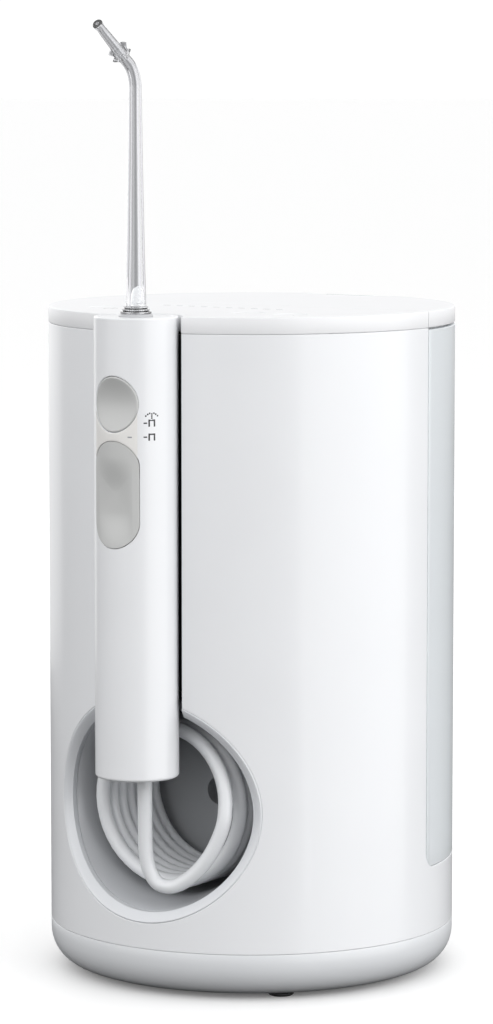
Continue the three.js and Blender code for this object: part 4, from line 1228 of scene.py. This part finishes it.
def make_release_button():
    """The round thumb dish, scooped into the handle's surface."""
    back = HANDLE_Y - RELEASE_DEPTH
    rings = [[(0, back, RELEASE_Z)], [(x, back, z) for x, _, z in release_ring(1, 0)]]
    rings.append(release_ring(1, RELEASE_EDGE))
    for t in (0.3, 0.65, 1.0):
        drop = RELEASE_EDGE * (1 - math.sin(t * math.pi / 2))
        rings.append(release_ring(1 - 0.045 * (1 - math.cos(t * math.pi / 2)), drop))
    for share in np.linspace(0.93, 0.06, 16):
        rings.append(release_ring(share, RELEASE_HOLLOW * (1 - (share / 0.955) ** 2) ** 1.15))
    rings.append([(0, handle_depth(0) + RELEASE_HOLLOW, RELEASE_Z)])
    button = loft("release_key", rings, KEY_PLASTIC, 60)
    stands_for(button, "release", "grey_trim", "nozzle_release_button")


SWITCH_R = HANDLE_R + 0.12
SWITCH_BACK = HANDLE_Y - 9.4
SCOOP_Y = -77.4
SCOOP_HOLLOW = 0.12
SCOOP_RAMP = 11.0
DEEP_TOP = 168.2
POINTER_Z = 174.2
BRIDGE_HALF = 7.45
BRIDGE_GAP = 0.12


def smooth_step(low, high, value):
    """0 below low and 1 above high, with an even rise between."""
    t = min(max((value - low) / (high - low), 0), 1)
    return t * t * (3 - 2 * t)


def scoop_y(x, z):
    """The thumb scoop: cut nearly flat across the grip, rising to the grip's surface at its ends."""
    edge = HANDLE_Y - math.sqrt(SWITCH_R**2 - x * x)
    cut = SCOOP_Y + SCOOP_HOLLOW * (1 - (x / SWITCH_HALF) ** 2)
    ends = smooth_step(0, SCOOP_RAMP, DEEP_TOP - z) * smooth_step(0, SCOOP_RAMP, z - SWITCH_LOW)
    return edge + (max(edge, cut) - edge) * ends


def stadium(share, high=SWITCH_HIGH):
    """The switch's outline seen from the front, up to a height, scaled about its middle."""
    middle = (SWITCH_LOW + high) / 2
    straight = (high - SWITCH_LOW) / 2 - SWITCH_HALF
    points = []
    for t in full_turn(160, 0.5):
        x = SWITCH_HALF * share * math.cos(t)
        z = (SWITCH_HALF * math.sin(t) + math.copysign(straight, math.sin(t))) * share
        points.append((x, middle + z))
    return points


def switch_skin(share, sunk):
    """A ring of the cap's face, or of its thin edge under it."""
    return [(x, scoop_y(x, z) + sunk, z) for x, z in stadium(share)]


def switch_body(share, y_at):
    """A ring of the body behind the scoop, short enough to slide up inside the grip's window."""
    return [(x, y_at(x), z) for x, z in stadium(share, DEEP_TOP + 0.4)]


def make_water_switch():
    """The sliding thumb switch: a long scooped oval whose thin top slides over the grip."""
    middle = (SWITCH_LOW + SWITCH_HIGH) / 2
    rings = [[(0, SWITCH_BACK, middle)]]
    rings.append(switch_body(0.9, lambda x: SWITCH_BACK))
    rings.append(switch_body(0.985, lambda x: SWITCH_BACK + 0.2))
    rings.append(switch_body(0.985, lambda x: handle_depth(x) - 0.04))
    rings += [switch_skin(0.985, 0.08), switch_skin(1, 0.06), switch_skin(1, 0.03)]
    rings += [switch_skin(share, 0) for share in (0.994, *np.linspace(0.985, 0.02, 44))]
    rings.append([(0, scoop_y(0, middle), middle)])
    switch = loft("water_switch_cap", rings, KEY_PLASTIC, 60)
    stands_for(switch, "switch", "grey_trim", "water_switch")


TAIL_R = 10.2
TAIL_HALF = 5.6
TAIL_LOW, TAIL_HIGH = 135.6, 142.4


def make_switch_tail():
    """A plate in the window under the scoop, seen only when the switch is up."""
    chains = [(rectangle(-TAIL_HALF, TAIL_HALF, TAIL_LOW, TAIL_HIGH, 1.5), True, 0.2)]
    tail = panel("switch_tail", chains, around(TAIL_R, HANDLE_Y), 0.8, (1, 1), KEY_PLASTIC)
    stands_for(tail, "switch", "grey_trim", "water_switch")


def bridge_outline():
    """Between the dish above and the scoop below, out to BRIDGE_HALF on each side."""
    xs = np.linspace(-BRIDGE_HALF, BRIDGE_HALF, 41)
    middle = SWITCH_HIGH - SWITCH_HALF
    reach = SWITCH_HALF + BRIDGE_GAP
    a, b = RELEASE_A + BRIDGE_GAP, RELEASE_B + BRIDGE_GAP
    low = [(x, middle + math.sqrt(reach**2 - x * x)) for x in xs]
    high = [(x, RELEASE_Z - b * math.sqrt(1 - (x / a) ** 2)) for x in reversed(xs)]
    return closed(joined(low, line(low[-1], high[0], 0.7), high, line(high[-1], low[0], 0.7)))


def make_switch_bridge():
    """The pale bridge above the scoop, with the pointer that reads against the printed signs."""
    place = around(HANDLE_R + 0.22, HANDLE_Y)
    chains = [([unrolled(x, z) for x, z in bridge_outline()], True, 0.1)]
    bridge = panel("switch_bridge", chains, place, 0.16, (0.8, 0.8), WARM_PLASTIC, 4)
    stands_for(bridge, "switch", "white_shell", "water_switch")
    pointer = [(bar_outline(5.0, 6.3, POINTER_Z - 0.2, POINTER_Z + 0.2), True, 0.02)]
    place = around(HANDLE_R + 0.24, HANDLE_Y)
    dash = panel("switch_pointer", pointer, place, 0.07, (0.6, 0.6), LENS_PLASTIC, 1)
    stands_for(dash, "switch", "grey_trim", "water_switch")


# ------------------------------------------------------------------ nozzle
BEND_Z = 283.0
BEND_R = 9.0
BEND_STEPS = 16
TIP_ANGLE = math.radians(54.7)
BEND_HALF = BEND_R * math.tan(TIP_ANGLE / 2)
BEND_START = BEND_Z - BEND_HALF
BEND_END = BEND_START + BEND_R * TIP_ANGLE
NOZZLE_END = BEND_END + 24.75 - BEND_HALF
FOOT_RINGS = ((210.7, 4.75), (211.5, 4.2), (212.3, 3.75))
SKIRT_LOW = BEND_END + 3.1
SKIRT_R = 3.7
KEY_LOW = 213.4


def nozzle_spot(distance):
    """y, z and lean of the nozzle's centre line at a distance measured like a height."""
    if distance <= BEND_START:
        return 0.0, distance, 0.0
    if distance <= BEND_END:
        lean = (distance - BEND_START) / BEND_R
        return -BEND_R * (1 - math.cos(lean)), BEND_START + BEND_R * math.sin(lean), lean
    along = distance - BEND_END + BEND_HALF
    return -along * math.sin(TIP_ANGLE), BEND_Z + along * math.cos(TIP_ANGLE), TIP_ANGLE


def nozzle_ring(distance, radius_at, sides):
    """A ring across the nozzle's centre line; radius_at gives its radius at an angle."""
    y, z, lean = nozzle_spot(distance)
    points = []
    for t in full_turn(sides):
        radius = radius_at(t)
        across = radius * math.sin(t)
        away = HANDLE_Y + y + across * math.cos(lean)
        points.append((radius * math.cos(t), away, z + across * math.sin(lean)))
    return points


def skirt_ring(distance, low, high):
    """A ring of the skirt below the tip, cut into four petals between two radii."""

    def petals(t):
        return low + (high - low) * smooth_step(-0.5, 0.3, math.cos(4 * t))

    return nozzle_ring(distance, petals, 64)


def make_nozzle():
    """The clear nozzle in one run of rings: up its outside, over the tip and down its bore."""
    bend = np.linspace(0, 1, BEND_STEPS + 1)
    bend = [(BEND_START + (BEND_END - BEND_START) * t, 1.95 - 0.1 * t) for t in bend]
    outside = [(201, 3.5), (201.2, 3.6), (210.4, 3.6)]
    for z, radius in FOOT_RINGS:
        outside += [(z - 0.05, radius - 0.5), (z, radius), (z + 0.35, radius), (z + 0.45, radius - 0.5)]
    outside += [(213.2, 3.15), (220, 2.95), (235, 2.62), (250, 2.35), (265, 2.12), *bend]
    low, high = BEND_END + 0.5, NOZZLE_END - 2.4
    outside += [(low + (high - low) * t, 1.85 - 0.5 * t) for t in np.linspace(0, 1, 9)]
    bead = [(1.6, 1.42), (0.8, 1.58), (0.2, 1.6), (0, 1.45), (0, 0.55), (2, 0.55)]
    bead = [(NOZZLE_END - back, radius) for back, radius in bead]
    inside_run = [(BEND_END + 3, 0.8), *((d, 0.95) for d, _ in reversed(bend))]
    inside_run += [(265, 1.05), (240, 1.3), (214, 1.7), (201, 2.2), (201, 3.5)]
    runs = [*outside, *bead, *inside_run]
    rings = [nozzle_ring(d, lambda t, r=r: r, 40) for d, r in runs]
    nozzle = loft("clear_nozzle", rings, CLEAR_PLASTIC, 35)
    stands_for(nozzle, "nozzle", "clear_nozzle", "nozzle")


def make_nozzle_skirt():
    rim = SKIRT_LOW + 2.6
    skirt = [skirt_ring(SKIRT_LOW, 1.95, 1.95), skirt_ring(rim - 0.2, 2.0, SKIRT_R)]
    skirt += [skirt_ring(rim, 2.0, SKIRT_R - 0.05), skirt_ring(rim, 1.9, SKIRT_R - 0.5)]
    skirt += [skirt_ring(SKIRT_LOW + 0.5, 1.9, 1.9), skirt_ring(SKIRT_LOW, 1.95, 1.95)]
    skirt = loft("nozzle_skirt", skirt, CLEAR_PLASTIC, 30)
    stands_for(skirt, "nozzle", "clear_nozzle", "nozzle")


def make_nozzle_key():
    """The tall round-topped key low on the nozzle's side."""
    arch = arc((3.0, 0), 2.3, 0, 180, 20)
    outline = closed([(u, KEY_LOW + 2.5 * v) for u, v in arch] + [(0.7, KEY_LOW)])
    place = around(3.5, HANDLE_Y)
    key = panel("nozzle_key", [(outline, True, 0.1)], place, 0.4, (0.7, 1), CLEAR_PLASTIC)
    stands_for(key, "nozzle", "clear_nozzle", "nozzle")


# ------------------------------------------------------------------ pieces inside
INNER_LOOKS = (
    (
        STEEL, "cradle_magnet", "tank_valve_spring", "crank_axle", "handle_steel_plate",
        "release_spring",
    ),
    (WHITE_PLASTIC, "tank_bay"),
    (BOARD_RESIN, "control_board", "power_board"),
    (SILICONE, "lid_seal", "suction_tube", "delivery_tube"),
    (
        NYLON, "tank_valve_poppet", "tank_seat", "motor_pinion", "crank_gear", "crank_yoke",
        "piston", "pump_housing", "handle_chassis", "valve_spool",
    ),
    (RUBBER, "tank_seat_seal", "piston_seal", "inlet_valve", "outlet_valve", "nozzle_seal"),
    (MOTOR_CAN, "motor"),
    (TRIM_PLASTIC, "pump_bracket"),
)


def dress_inner_pieces():
    for look, *names in INNER_LOOKS:
        for name in names:
            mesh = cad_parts[name].data
            mesh.materials.clear()
            mesh.materials.append(look)
            mesh.set_sharp_from_angle(angle=math.radians(40))


# ------------------------------------------------------------------ studio
FLOOR_HALF = 40.0


def make_floor():
    """A pale floor that the camera sees, but that throws no light back on the object."""
    side = FLOOR_HALF
    mesh = bpy.data.meshes.new("floor")
    corners = [(-side, -side, 0), (side, -side, 0), (side, side, 0), (-side, side, 0)]
    mesh.from_pydata(corners, [], [(0, 1, 2, 3)])
    floor = bpy.data.objects.new("floor", mesh)
    bpy.context.scene.collection.objects.link(floor)
    material, _, shader = nodes_of("floor_paper")
    set_inputs(shader, Base_Color=(0.95, 0.95, 0.95, 1), Roughness=0.6)
    set_inputs(shader, Emission_Color=(1, 1, 1, 1), Emission_Strength=0.1)
    mesh.materials.append(material)
    floor.visible_diffuse = False
    floor.visible_glossy = False
    floor.visible_transmission = False


def area_light(name, spot, size, power):
    """A softbox in metres that looks at the middle of the object."""
    data = bpy.data.lights.new(name, "AREA")
    data.shape = "RECTANGLE"
    data.size, data.size_y = size
    data.energy = power
    light = bpy.data.objects.new(name, data)
    bpy.context.scene.collection.objects.link(light)
    light.location = spot
    way = Vector(LIGHT_TARGET) - Vector(spot)
    light.rotation_euler = way.to_track_quat("-Z", "Y").to_euler()
    light.visible_transmission = False


LIGHT_TARGET = (0, 0, 0.12)
WORLD_LOW = (0.0, 0.0, 0.0)
WORLD_HIGH = (1.06, 1.06, 1.06)
WORLD_TOP = (0.78, 0.78, 0.78)
FLAG_PLACES = (0.1, 0.2, 0.26, 0.34, 0.42, 0.48, 0.53, 0.6, 0.72, 0.81, 0.9)
FLAG_LIGHTS = (0.9, 0.85, 0.14, 0.34, 0.4, 0.22, 0.32, 0.8, 0.85, 0.55, 0.75)
RIGHT_POWER = 19.5
FRONT_POWER = 8.2
RIM_POWER = 3.2


def make_world():
    """A white room, dimmer overhead and black below, with a backdrop of its own for clear plastic."""
    world = bpy.data.worlds.new("studio")
    bpy.context.scene.world = world
    world.use_nodes = True
    tree = world.node_tree
    ground = tree.nodes["Background"]
    where = add_node(tree, "ShaderNodeTexCoord")
    split = add_node(tree, "ShaderNodeSeparateXYZ")
    tree.links.new(where.outputs["Generated"], split.inputs["Vector"])
    shift = add_node(tree, "ShaderNodeMapRange")
    set_inputs(shift, From_Min=-0.1)
    tree.links.new(split.outputs["Z"], shift.inputs["Value"])
    stops = [(0, WORLD_LOW), (0.08, WORLD_HIGH), (0.4, WORLD_HIGH), (1, WORLD_TOP)]
    room = colour_ramp(tree, shift.outputs["Result"], stops)
    clear_ray = add_node(tree, "ShaderNodeLightPath")
    mix = add_node(tree, "ShaderNodeMix", data_type="RGBA")
    tree.links.new(clear_ray.outputs["Is Transmission Ray"], mix.inputs["Factor"])
    tree.links.new(room, mix.inputs[6])
    tree.links.new(backdrop_flags(tree, where), mix.inputs[7])
    tree.links.new(mix.outputs[2], ground.inputs["Color"])


def backdrop_flags(tree, where):
    """Pale and dark bands from the camera's left to its right, seen only through clear plastic."""
    side = add_node(tree, "ShaderNodeVectorMath", operation="DOT_PRODUCT")
    side.inputs[1].default_value = (math.cos(CAMERA_AZIMUTH), math.sin(CAMERA_AZIMUTH), 0)
    tree.links.new(where.outputs["Generated"], side.inputs[0])
    spread = add_node(tree, "ShaderNodeMapRange")
    set_inputs(spread, From_Min=-1)
    tree.links.new(side.outputs["Value"], spread.inputs["Value"])
    bands = [(p, (c, c, c * 1.03)) for p, c in zip(FLAG_PLACES, FLAG_LIGHTS)]
    stops = [(0, (0.3, 0.3, 0.31)), *bands, (1, (0.8, 0.8, 0.8))]
    return colour_ramp(tree, spread.outputs["Result"], stops)


def make_lights():
    area_light("right_softbox", (1.4, 0.1, 0.3), (2.0, 1.3), RIGHT_POWER)
    area_light("front_softbox", (-0.5, -1.5, 0.55), (2.0, 1.2), FRONT_POWER)
    area_light("rim_softbox", (-1.3, 0.8, 0.35), (1.0, 1.0), RIM_POWER)
    make_world()
    bpy.context.scene.view_settings.view_transform = "Standard"


make_camera()
make_hose()
make_front_shell()
make_base_tray()
make_top_cover()
make_top_keys()
make_lamp_bar()
make_bezel()
make_cup()
make_elbow()
make_cradle()
for number in range(1, 5):
    make_foot(number)
    make_screw(number)
make_inlet_gland()
make_tank()
make_lid()
make_sleeve()
make_setting_marks()
make_handle_caps()
make_nozzle_collar()
make_hose_bush()
make_release_button()
make_water_switch()
make_switch_tail()
make_switch_bridge()
make_nozzle()
make_nozzle_skirt()
make_nozzle_key()
dress_inner_pieces()
make_floor()
make_lights()
